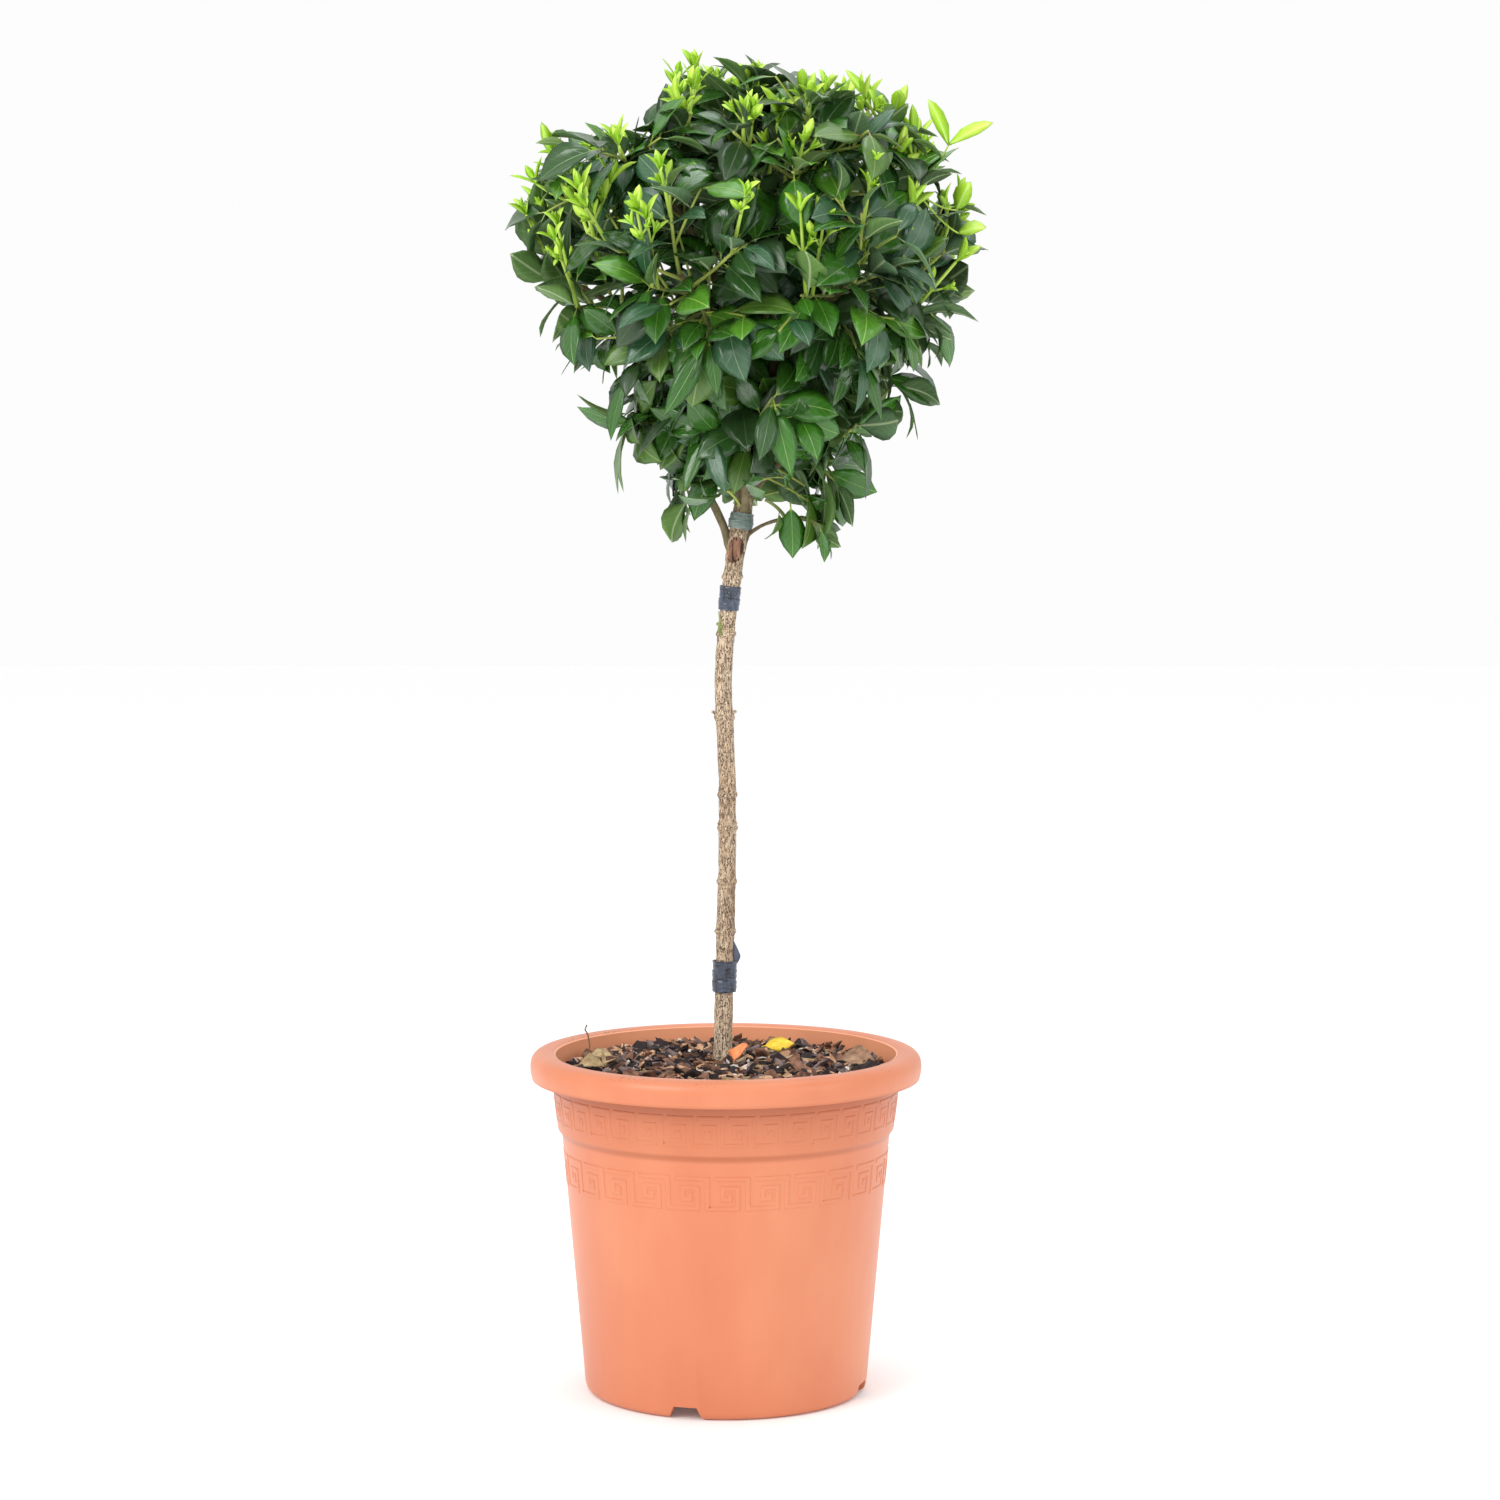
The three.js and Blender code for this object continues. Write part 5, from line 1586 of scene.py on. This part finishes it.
def spring_shoot(draw, root, way, length):
    """A pale upright stem that ends in a tuft and forks into two small ones half way up."""
    tip = root + way * length
    SHOOT_LINES.append([(*root, 2.2), (*root.lerp(tip, 0.5), 1.9), (*tip, 1.4)])
    tuft(draw, tip, way, draw(1.15, 1.4) if draw(0, 1) < 0.2 else draw(0.8, 1.05))
    if length < 22:
        return
    level = way.cross(Vector((0.2, 0.3, 0.1))).normalized()
    side = Quaternion(way, draw(0, math.pi)) @ level
    middle = root.lerp(tip, draw(0.5, 0.72))
    for out in (side, -side):
        branch = (way * 0.8 + out * 0.6).normalized()
        end = middle + branch * draw(8, 15)
        if crown_level(end + branch * 20) < SHOOT_LEVEL:
            SHOOT_LINES.append([(*middle, 1.3), (*end, 0.9)])
            tuft(draw, end, branch, draw(0.6, 0.8))


def shoots_at(draw, curve, springs):
    """Up to two shoots near a twig's tip, surely one where the solid has one."""
    count = int(springs or draw(0, 1) < 0.88) + int(draw(0, 1) < 0.5)
    if crown_share(curve[2].z) < 0.47:
        count = 0
    for _ in range(count):
        lean = Vector((draw(-0.35, 0.35), draw(-0.35, 0.35), 0))
        base = on_curve(curve, draw(0.6, 0.98))
        way = (heading_on(curve, 1) * 0.25 + outward_at(base) * 0.4 + UP * 0.85 + lean).normalized()
        for length in (draw(52, 84), 44, 34, 25, 17, 10):
            if crown_level(base + way * (length + 34)) < SHOOT_LEVEL:
                spring_shoot(draw, base, way, length)
                break


# %% Stray sprigs and tall tufts
STRAYS = [
    # where the leaves stand, which way each one points, length, breadth
    ((220, -70, 1258), ((-0.4, -0.1, 0.9), (0.88, -0.1, 0.45)), 50, 0.3),
    ((228, -80, 1194), ((0.4, -0.2, 0.85),), 31, 0.66),
    ((230, -70, 1172), ((0.95, -0.2, 0.2),), 29, 0.68),
]


def stray_sprigs():
    """Single young leaves on long thin stalks, which stand out beyond the head's right side."""
    for place, ways, length, broad in STRAYS:
        end = Vector(place)
        start = min(TIPS, key=lambda tip: (tip - end).length)
        SHOOT_LINES.append(twig_line([start, start.lerp(end, 0.6) - UP * 8, end], 1.3, 0.8))
        for way in ways:
            way = Vector(way).normalized()
            face = Vector((0, -0.8, 0.5))
            face = (face - way * face.dot(way)).normalized()
            SHOOT_LEAVES.append((*end, *way, *face, length, broad))


# The longest upright shoots: where each tuft stands, and its size.
HIGH_TUFTS = [
    ((-29, -20, 1333), 1.1),
    ((-48, -10, 1328), 1.0),
    ((-41, -80, 1291), 1.2),
    ((-172, -40, 1249), 1.3),
    ((-187, -50, 1222), 1.1),
    ((-151, -90, 1220), 1.3),
    ((-111, -120, 1216), 1.2),
    ((140, -40, 1306), 1.2),
    ((168, -40, 1291), 1.2),
    ((188, -40, 1270), 1.1),
]


def high_tufts():
    """Tufts that stand out above the head's outline, most of them at the left and the right."""
    draw = seeded(911)
    for place, size in HIGH_TUFTS:
        top = Vector(place)
        start = min(TIPS, key=lambda tip: (tip + UP * 45 - top).length)
        SHOOT_LINES.append(twig_line([start, start.lerp(top, 0.5) - UP * 3, top], 2.1, 1.4))
        tuft(draw, top, ((top - start).normalized() + UP).normalized(), size)
        low = start.lerp(top, 0.62)
        side = UP.cross(top - start).normalized()
        for out in (side, -side):
            tuft(draw, low + out * 2, (UP * 0.8 + out * 0.6).normalized(), 0.7 * size)


# %% [markdown]
# ## Growing the crown
# Each mass is grown from its own seed. A twig's main leaves come from that seed, as in the
# solids, and all that is added to it here comes from a second one, so an added leaf never shifts
# a main one. Last come the sprays inside the head, the stray sprigs and the tall tufts.

# %% Grow the whole crown
# Twigs that end above this height are this year's and still yellow green.
YOUNG_WOOD = 1150.0


def grow_mass(mass):
    """Grows the twigs, leaves and shoots of one mass."""
    draw = seeded(mass["seed"])
    fine = seeded(5000 + mass["seed"])
    for twig in plan_twigs(mass, draw):
        curve = twig["curve"]
        lines = SIDE_LINES if curve[2].z > YOUNG_WOOD else TWIG_LINES
        lines.append(twig_line(curve, 2.1, 1.4))
        SPRAYS.append(curve[2])
        for pair, share in enumerate(MAIN_SHARES):
            size = 0.86 if pair == 3 else 1
            turn = twig["turn"] + pair * math.pi / 2
            root, heading = on_curve(curve, share), heading_on(curve, share)
            main_pair(mass, draw, root, heading, turn, blend(1.15, 0.7, share), size)
        if mass["name"] == "side_shoot":
            continue
        fine_pair(fine, on_curve(curve, 0.9), heading_on(curve, 0.9), twig["turn"] + 0.8, 86)
        if curve[2].z < HANGING["below"] and fine(0, 1) < 0.8:
            hanging_pair(fine, curve[2], Vector((*outward_at(curve[2]).xy, 0)).normalized())
        chance_of_two = 0.15 if on_open_side(curve[2]) else 0.75
        for share in (0.34, 0.68) if fine(0, 1) < chance_of_two else (0.5,):
            side_twig(fine, on_curve(curve, share), heading_on(curve, share),
                      twig["turn"] + share * 9, fine(44, 70))
        shoots_at(fine, curve, twig["springs"])


def side_shoot_leaf():
    """The one broad leaf that hangs from the side shoot with its upper side to the front."""
    keep_leaf(SIDE_SHOOT["heart"] + Vector((-11, -10, 16)), Vector((0.05, -0.12, -0.99)),
              Vector((0.1, -0.99, 0.12)), 60, 0.47)


for mass in MASSES:
    grow_mass(mass)
side_shoot_leaf()
inner_sprays()
stray_sprigs()
high_tufts()
print("Leaves:", len(LEAVES), "young leaves:", len(SHOOT_LEAVES), "twigs:", len(TWIG_LINES))

# %% [markdown]
# ## Boughs and twigs
# Boughs, twigs and green shoots are again curves with a radius at every point. The boughs get
# bark relief as the stem has; the twigs are too thin for it.

# %% Boughs, twigs and green shoots
def bough_line(mass):
    """A bough's course; its foot is carried on inside the stem, so it grows out of the wood."""
    line = []
    for step in range(46):
        share = step / 45
        if share < BOUGH_END:
            radius = blend(mass["bough"], BOUGH_TIP, share / BOUGH_END)
        else:
            radius = blend(3.3, 2.4, (share - BOUGH_END) / 0.38)
        if mass["name"] == "side_shoot":
            radius = blend(2.1, 1.5, share)
        collar = 1.6 * limit(1 - share / 0.1) ** 2
        line.append((*on_curve(mass["curve"], share), radius + collar))
    if mass["name"] != "top":
        foot = mass["foot"] - 16
        inside = stem_centre(foot).lerp(Vector(line[0][:3]), 0.35)
        line.insert(0, (inside.x, inside.y, foot, mass["bough"] * 0.8))
    return line


boughs = limbs_from_curves("boughs", [bough_line(mass) for mass in MASSES], 5)
roughen(boughs, "CLOUDS", 14, 1.3, 1.5)
smooth(boughs, 60)
twigs = limbs_from_curves("twigs", TWIG_LINES, 1)
side_twigs = limbs_from_curves("side_twigs", SIDE_LINES, 1)
green_shoots = limbs_from_curves("green_shoots", SHOOT_LINES, 1)
for thin in (twigs, side_twigs, green_shoots):
    smooth(thin)

# %% [markdown]
# ## The leaf
# A laurustinus leaf is a firm, pointed oval on a short stalk, folded a little along its rib. One
# is modelled from a flat grid whose rows are drawn in to the leaf's outline. The underside is a
# copy of the upper side with its rim shared, so the blade is thin and closed.

# %% Model one leaf
# Where the grid's rows lie along the leaf, and how wide the leaf is at each.
LEAF_ROWS = [0.0, 0.13, 0.19, 0.31, 0.46, 0.62, 0.78, 0.91, 1.0]
LEAF_WIDTHS = [0.055, 0.055, 0.32, 0.72, 0.98, 0.98, 0.69, 0.27, 0.015]
YOUNG_ROWS = [0, 0.1, 0.36, 0.64, 0.86, 1.0]
YOUNG_WIDTHS = [0.14, 0.36, 0.93, 1.0, 0.6, 0.03]


def leaf_template(rows, widths, across):
    """A leaf one unit long and one unit broad, lying along +Y with its upper side up."""
    start_fresh()
    bpy.ops.mesh.primitive_grid_add(x_subdivisions=across, y_subdivisions=len(rows) - 1, size=1)
    leaf = settle(bpy.context.object, "leaf")
    steps = len(rows) - 1
    for vertex in leaf.data.vertices:
        row = round((vertex.co.y + 0.5) * steps)
        vertex.co.x *= widths[row]
        vertex.co.y = rows[row]
    bpy.ops.object.mode_set(mode="EDIT")
    bpy.ops.mesh.select_all(action="SELECT")
    bpy.ops.mesh.duplicate()
    bpy.ops.mesh.flip_normals()
    bpy.ops.object.mode_set(mode="OBJECT")
    half = len(leaf.data.vertices) // 2
    rim = {rows[0], rows[-1]}
    for vertex in list(leaf.data.vertices)[half:]:
        row = min(range(len(rows)), key=lambda i: abs(rows[i] - vertex.co.y))
        inside = abs(vertex.co.x) < widths[row] / 2 - 1e-4 and rows[row] not in rim
        vertex.co.z = -0.012 if inside else 0.0
    bpy.ops.object.mode_set(mode="EDIT")
    bpy.ops.mesh.select_all(action="SELECT")
    bpy.ops.mesh.remove_doubles(threshold=1e-5)
    bpy.ops.object.mode_set(mode="OBJECT")
    under = [int(face.normal.z < 0) for face in leaf.data.polygons]
    return *read_shape(leaf), under


OLD_LEAF = leaf_template(LEAF_ROWS, LEAF_WIDTHS, 4)
YOUNG_LEAF = leaf_template(YOUNG_ROWS, YOUNG_WIDTHS, 2)
print("Faces of one leaf:", len(OLD_LEAF[1]), "and of a young one:", len(YOUNG_LEAF[1]))

# %% [markdown]
# No two leaves hang alike. Each copy is bent, folded along its rib, twisted and waved by amounts
# of its own, and the copies of one shade are joined. Modifiers could do this for one leaf, but
# not for thousands at once, so the same bends are worked out for all of a copy's points together.

# %% Bend and join the copies
def leaf_copies(name, template, leaves, seed, fold=(0.0, 0.3), arch=(0.0, 0.7), wave=0.03):
    """Joins bent copies of the leaf. Each keeps the same flat UV layout."""
    points, faces, under = template
    draw = seeded(seed)
    all_points, all_faces, all_under, all_uv = [], [], [], []
    flat_uv = np.stack([points[:, 0] + 0.5, points[:, 1]], axis=1)
    for number, leaf in enumerate(leaves):
        root, way, face = (np.array(leaf[i:i + 3], float) for i in (0, 3, 6))
        length, broad = leaf[9], leaf[10]
        sideways = np.cross(way, face)
        x = points[:, 0] * length * broad
        y = points[:, 1]
        z = points[:, 2] * length
        bow, hang = draw(0.03, 0.09), draw(*arch)
        folded = draw(*fold)
        turn = draw(-0.35, 0.35)
        curl = draw(-0.05, 0.12)
        phase, waves = draw(0, 6.28), draw(0.3, 1.0) * wave
        lifted = np.abs(x) * folded + waves * length * np.sin(y * 13 + phase) * np.abs(points[:, 0])
        lifted -= curl * x * x / length * 4
        spin = turn * y
        side_x = x * np.cos(spin) - lifted * np.sin(spin)
        up = z + x * np.sin(spin) + lifted * np.cos(spin)
        bend = hang * np.clip(y - 0.25, 0, 1) ** 2 * 1.2
        forward = length * (y - 0.28 * bend * y)
        rise = length * (bow * 4 * y * (1 - y) - 0.42 * bend)
        places = root + np.outer(forward, way) + np.outer(up + rise, face) + np.outer(side_x, sideways)
        all_points.append(places)
        first = number * len(points)
        all_faces += [[first + corner for corner in one] for one in faces]
        all_under += under
        all_uv += [flat_uv[corner] for one in faces for corner in one]
    piece = mesh_from(name, np.concatenate(all_points), all_faces, all_under, np.array(all_uv))
    smooth(piece)
    return piece


# %% [markdown]
# ## Leaf finishes
# A full leaf is dark, firm and glossy above, with a pale rib and side veins that run to the edge,
# and dull grey green below. The pattern is drawn on the leaf's own flat layout, so one layout
# serves every leaf. The crown's variety comes from dealing leaves out to several shades.

# %% Leaf materials
VEIN_PAIRS = 7.0
# The leaf's stalk ends at 0.13 of its length, and its colour fades out by 0.18.
STALK_STOPS = [(0.13, 1.0), (0.18, 0.0)]


def leaf_place(tree):
    """The leaf's flat layout, how far a point is from the rib (to 0.5) and along it (to 1)."""
    uv = add_node(tree, "UVMap", uv_map="OFBake")
    across = add_node(tree, "SeparateXYZ", {0: uv}, out="X")
    along = across.node.outputs["Y"]
    off_rib = add_node(tree, "Math", {0: across, 1: 0.5}, operation="SUBTRACT")
    from_rib = add_node(tree, "Math", {0: off_rib}, operation="ABSOLUTE")
    return uv, from_rib, along


def veins(tree, from_rib, along):
    """Curved side veins: 1 on a vein and 0 between two."""
    bowed = add_node(tree, "Math", {0: from_rib, 1: 0.8}, operation="POWER")
    swept = add_node(tree, "Math", {0: bowed, 1: 0.62}, operation="MULTIPLY")
    level = add_node(tree, "Math", {0: along, 1: swept}, operation="SUBTRACT")
    phase = add_node(tree, "Math", {0: level, 1: VEIN_PAIRS}, operation="MULTIPLY")
    part = add_node(tree, "Math", {0: phase}, operation="FRACT")
    from_vein = add_node(tree, "Math", {0: part, 1: 0.5}, operation="SUBTRACT")
    near = add_node(tree, "Math", {0: from_vein}, operation="ABSOLUTE")
    return add_node(tree, "ValToRGB", {0: near}, stops=[(0.0, 1.0), (0.05, 0.0)])


def dimmed(colour, share):
    """A colour with only a share of its light."""
    red, green, blue, opaque = linear(colour)
    return share * red, share * green, share * blue, opaque


# %% The upper side
def leaf_upper(name, body, vein, edge, roughness):
    """The upper side: its gloss picks out each leaf, and its pale rib and veins give the leaf's way."""
    material, tree, shader = new_material("leaf_upper_" + name, roughness, specular=0.6)
    uv, from_rib, along = leaf_place(tree)
    # A leaf is about 75 mm long, so a cloud of a fifth of it is 15 mm.
    cloud = add_node(tree, "TexNoise", {"Vector": uv, "Scale": 5.0, "Detail": 3.0})
    mottle = {0: cloud, 6: dimmed(body, 0.62), 7: body}
    blade = add_node(tree, "Mix", mottle, **MIX_COLOURS)
    side = add_node(tree, "Math", {0: veins(tree, from_rib, along), 1: 0.22}, operation="MULTIPLY")
    blade = add_node(tree, "Mix", {0: side, 6: blade, 7: vein}, **MIX_COLOURS)
    rib = add_node(tree, "ValToRGB", {0: from_rib}, stops=[(0.006, 1.0), (0.02, 0.0)])
    rib_pale = add_node(tree, "Math", {0: rib, 1: 0.5}, operation="MULTIPLY")
    blade = add_node(tree, "Mix", {0: rib_pale, 6: blade, 7: vein}, **MIX_COLOURS)
    stalk = add_node(tree, "ValToRGB", {0: along}, stops=STALK_STOPS)
    colour = add_node(tree, "Mix", {0: stalk, 6: blade, 7: edge}, **MIX_COLOURS)
    rib_deep = add_node(tree, "Math", {0: rib, 1: 0.8}, operation="MULTIPLY")
    quilt = add_node(tree, "Math", {0: side, 1: rib_deep}, operation="ADD")
    sunk = add_node(tree, "Math", {0: quilt, 1: -1.0}, operation="MULTIPLY")
    relief = add_node(tree, "Bump", {"Height": sunk, "Distance": 0.5 * MM, "Strength": 0.6})
    set_inputs(tree, shader, {"Base Color": colour, "Normal": relief})
    return material


# %% The underside
def leaf_under(name, body, vein):
    """The underside: dull and greyer, with raised veins, so a turned leaf shows as one."""
    material, tree, shader = new_material("leaf_underside_" + name, 0.62)
    uv, from_rib, along = leaf_place(tree)
    cloud = add_node(tree, "TexNoise", {"Vector": uv, "Scale": 4.0, "Detail": 2.0})
    mottle = {0: cloud, 6: dimmed(body, 0.75), 7: body}
    blade = add_node(tree, "Mix", mottle, **MIX_COLOURS)
    side = add_node(tree, "Math", {0: veins(tree, from_rib, along), 1: 0.5}, operation="MULTIPLY")
    rib = add_node(tree, "ValToRGB", {0: from_rib}, stops=[(0.016, 1.0), (0.05, 0.0)])
    line = add_node(tree, "Math", {0: side, 1: rib}, operation="MAXIMUM")
    stalk = add_node(tree, "ValToRGB", {0: along}, stops=STALK_STOPS)
    veined = add_node(tree, "Mix", {0: line, 6: blade, 7: vein}, **MIX_COLOURS)
    colour = add_node(tree, "Mix", {0: stalk, 6: veined, 7: vein}, **MIX_COLOURS)
    relief = add_node(tree, "Bump", {"Height": line, "Distance": 0.5 * MM, "Strength": 0.6})
    set_inputs(tree, shader, {"Base Color": colour, "Normal": relief})
    return material


# %% Shades of full leaves
# The darkest kind, shade, is dealt mostly inside the head as painted shade.
LEAF_SHADES = {
    # name: share, upper side, rib, stalk, underside, roughness
    "shade": (0.06, "#2A4821", "#50683C", "#6F8A3C", "#4F6A40", 0.30),
    "deep": (0.20, "#2F5724", "#6E9656", "#8BA546", "#5A7C49", 0.2),
    "blue": (0.15, "#34603C", "#86A67E", "#8FAA55", "#63855C", 0.27),
    "forest": (0.22, "#32661B", "#7FAE56", "#9DB84A", "#638A46", 0.19),
    "green": (0.17, "#3A771C", "#96C45A", "#A9C450", "#6C9448", 0.23),
    "bright": (0.10, "#548F28", "#B0D860", "#B6D054", "#86A65E", 0.23),
    "olive": (0.03, "#4F7726", "#A0BC58", "#A08A4A", "#72904E", 0.32),
}


# %% Young leaves and twigs
def young_finish(name, body, vein):
    """A spring leaf: soft, and yellower to its tip, which is what makes the tufts stand out."""
    material, tree, shader = new_material(name, 0.42)
    _, from_rib, along = leaf_place(tree)
    rib = add_node(tree, "ValToRGB", {0: from_rib}, stops=[(0.02, 0.6), (0.08, 0.0)])
    blade = add_node(tree, "Mix", {0: along, 6: body, 7: vein}, **MIX_COLOURS)
    colour = add_node(tree, "Mix", {0: rib, 6: blade, 7: "#D6F58A"}, **MIX_COLOURS)
    set_inputs(tree, shader, {"Base Color": colour})
    return material


def twig_finish(name, dark, light):
    """Smooth bark of a young twig, in slowly changing shades that keep it from looking like wire."""
    material, tree, shader = new_material(name, 0.6)
    place = add_node(tree, "TexCoord", out="Object")
    # Shades change over 33 mm. Pores are drawn 2 mm wide, coarser than real ones.
    tone = add_node(tree, "TexNoise", {"Vector": place, "Scale": scale_for(33.333), "Detail": 2})
    pore = add_node(tree, "TexNoise", {"Vector": place, "Scale": scale_for(2), "Detail": 2})
    colour = add_node(tree, "ValToRGB", {0: tone}, stops=[(0.35, dark), (0.65, light)])
    relief = add_node(tree, "Bump", {"Height": pore, "Distance": 0.12 * MM, "Strength": 1.0})
    set_inputs(tree, shader, {"Base Color": colour, "Normal": relief})
    return material


# %% [markdown]
# ## Dealing the leaves out
# On a real plant the leaves of one spray are much of an age, so they share a shade, while a few
# differ from their neighbours. So each spray is dealt a shade, and four leaves in ten draw their
# own. Dark leaves are commoner inside the head, as painted shade, and bright ones outside, as
# painted light, which gives it depth.

# %% Which shade a leaf is dealt
STRAY_SHARE = 0.4
# Below this height, in mm, a bright leaf is dealt green instead: painted shade on the head's lower
# part.
NO_BRIGHT_BELOW = 1000
UNDERSIDE_VEIN = "#A9BC8E"
YOUNG_SHADES = {
    # name: every second leaf from, colour at the foot, colour at the tip
    "young_lime": (0, "#94CC26", "#B2E038"),
    "young_yellow": (1, "#AEDE32", "#CCF054"),
}


def shade_for(draw, place):
    """Brighter leaves are commoner high up and outside, as painted light; dark ones are commoner
    inside, as painted shade.
    """
    outer = limit(crown_level(place) * 0.9)
    # Dark kinds lean inwards as painted shade, and bright ones outwards as painted light.
    lean = {"shade": 2.6 - 2.6 * outer, "deep": 1.3 - 0.5 * outer, "green": 0.5 + 0.7 * outer}
    lean["bright"] = 0.3 + outer
    weights = [LEAF_SHADES[name][0] * lean.get(name, 1.0) for name in LEAF_SHADES]
    spot = draw(0, sum(weights))
    for name, weight in zip(LEAF_SHADES, weights):
        spot -= weight
        if spot <= 0:
            return name
    return "deep"


# %% Deal the full leaves
dealing = seeded(77)
SPRAY_SHADES = [shade_for(dealing, place) for place in SPRAYS]
dealt = {name: [] for name in LEAF_SHADES}
for leaf in LEAVES:
    strays = dealing(0, 1) < STRAY_SHARE
    shade = shade_for(dealing, leaf[:3]) if strays else SPRAY_SHADES[leaf[11]]
    if shade == "bright" and leaf[2] < NO_BRIGHT_BELOW:
        shade = "green"
    dealt[shade].append(leaf)
MASS_NODES = ["foliage_" + mass["name"] for mass in MASSES]
for number, (name, leaves) in enumerate(dealt.items()):
    share, body, vein, edge, below, roughness = LEAF_SHADES[name]
    piece = leaf_copies("leaves_" + name, OLD_LEAF, leaves, 900 + number)
    upper = leaf_upper(name, body, vein, edge, roughness)
    under = leaf_under(name, below, UNDERSIDE_VEIN)
    wear(piece, [upper, under], "foliage", *(MASS_NODES if number == 0 else []))
# %% Young leaves, boughs and twigs
for name, (first, body, tip) in YOUNG_SHADES.items():
    leaves = SHOOT_LEAVES[first::2]
    piece = leaf_copies(name, YOUNG_LEAF, leaves, 950, (0.2, 0.55), (-0.35, 0.3), 0.02)
    finish = young_finish("spring_leaf_" + name, body, tip)
    wear(piece, [finish, finish], "foliage")
bough_nodes = [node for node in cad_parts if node.startswith("bough")]
wear(boughs, [bough_bark_finish()], "bough_bark", *bough_nodes)
wear(twigs, [twig_finish("green_brown_twig", "#66703A", "#8F9A50")], "bough_bark")
wear(side_twigs, [twig_finish("yellow_green_twig", "#8FA044", "#B2BE5C")], "bough_bark")
wear(green_shoots, [twig_finish("green_spring_stem", "#9ABC3C", "#BEDA60")], "foliage")

# %% [markdown]
# ## What has fallen on the mulch
# A few old leaves lie on the bark: one orange by the stem's foot, one yellow behind it, and pale
# curled ones near the lip, with a dry stalk that stands up. They are bent copies of the same
# leaf, curled far more than a living one.

# %% Fallen leaves and the dry stalk
def fallen_leaf(name, x, y, heading, length, broad, up, body, fold, arch, tilt=0.15):
    """One old leaf on the mulch; `heading` is the way it points, in degrees."""
    turn = math.radians(heading)
    way = Vector((math.cos(turn), math.sin(turn), tilt)).normalized()
    level = UP - way * way.z
    face = Quaternion(way, up) @ level.normalized()
    root = Vector((x, y, soil_height(math.hypot(x, y)) + 9))
    leaf = (*root, *way, *face, length, broad, 0)
    piece = leaf_copies(name, OLD_LEAF, [leaf], 60 + int(heading), fold, arch, 0.12)
    material, tree, shader = new_material("fallen_" + name, 0.6)
    uv, from_rib, along = leaf_place(tree)
    cloud = add_node(tree, "TexNoise", {"Vector": uv, "Scale": 4.0, "Detail": 4.0})
    patch_tone = add_node(tree, "ValToRGB", {0: cloud}, stops=[(0.3, body[0]), (0.7, body[1])])
    veined = {0: veins(tree, from_rib, along), 6: patch_tone, 7: body[0]}
    colour = add_node(tree, "Mix", veined, **MIX_COLOURS)
    set_inputs(tree, shader, {"Base Color": colour})
    wear(piece, [material, material], "bark_mulch")


# %% Seven old leaves and a stalk
# Each old leaf's darker and lighter colour, and how far it is folded.
ORANGE = ("#E07A42", "#FFA668")
YELLOW = ("#F0BC20", "#FFE84A")
TAN = ("#94784F", "#D3B98C")
BROWN = ("#7A5840", "#C39C7C")
FLAT = (0.1, 0.2)
BENT = (0.4, 0.6)
CURLED = (0.9, 1.2)
fallen_leaf("orange_leaf", 8, -52, 64, 32, 0.72, -0.2, ORANGE, FLAT, (0.2, 0.3), 0.75)
fallen_leaf("yellow_leaf", 36, 56, 6, 36, 0.6, 0.7, YELLOW, (0.0, 0.1), (0.1, 0.2), 0.1)
fallen_leaf("tan_curl", -154, -26, 14, 36, 0.55, 0.6, TAN, BENT, (0.3, 0.5), 0.0)
fallen_leaf("tan_curl_behind", -112, 4, 172, 36, 0.5, -0.5, TAN, BENT, (0.5, 0.7), 0.0)
fallen_leaf("tan_curl_front", -126, -40, 70, 26, 0.7, 0.4, TAN, CURLED, (0.9, 1.2), 0.2)
fallen_leaf("brown_curl", 112, -16, 4, 46, 0.5, 0.9, BROWN, BENT, (0.5, 0.7), 0.05)
fallen_leaf("brown_curl_behind", 142, 12, 100, 30, 0.7, 0.5, BROWN, BENT, (0.7, 0.9), 0.1)
stalk_foot = Vector((-140, -6, soil_height(140) - 2))
STALK = [(0, 0, 0), (-2, 1, 14), (1, 1, 26), (-1, 2, 38), (-4, 2, 43), (-2, 2, 48)]
stalk_line = [(*(stalk_foot + Vector(bend)), 0.8) for bend in STALK]
stalk = limbs_from_curves("dry_stalk", [stalk_line], 2)
smooth(stalk)
wear(stalk, [twig_finish("dry_stalk_brown", "#4A3628", "#7A5C44")], "bark_mulch")
wear(buds, [twig_finish("green_bud", "#5E6234", "#9AA656")], "stem_bark")
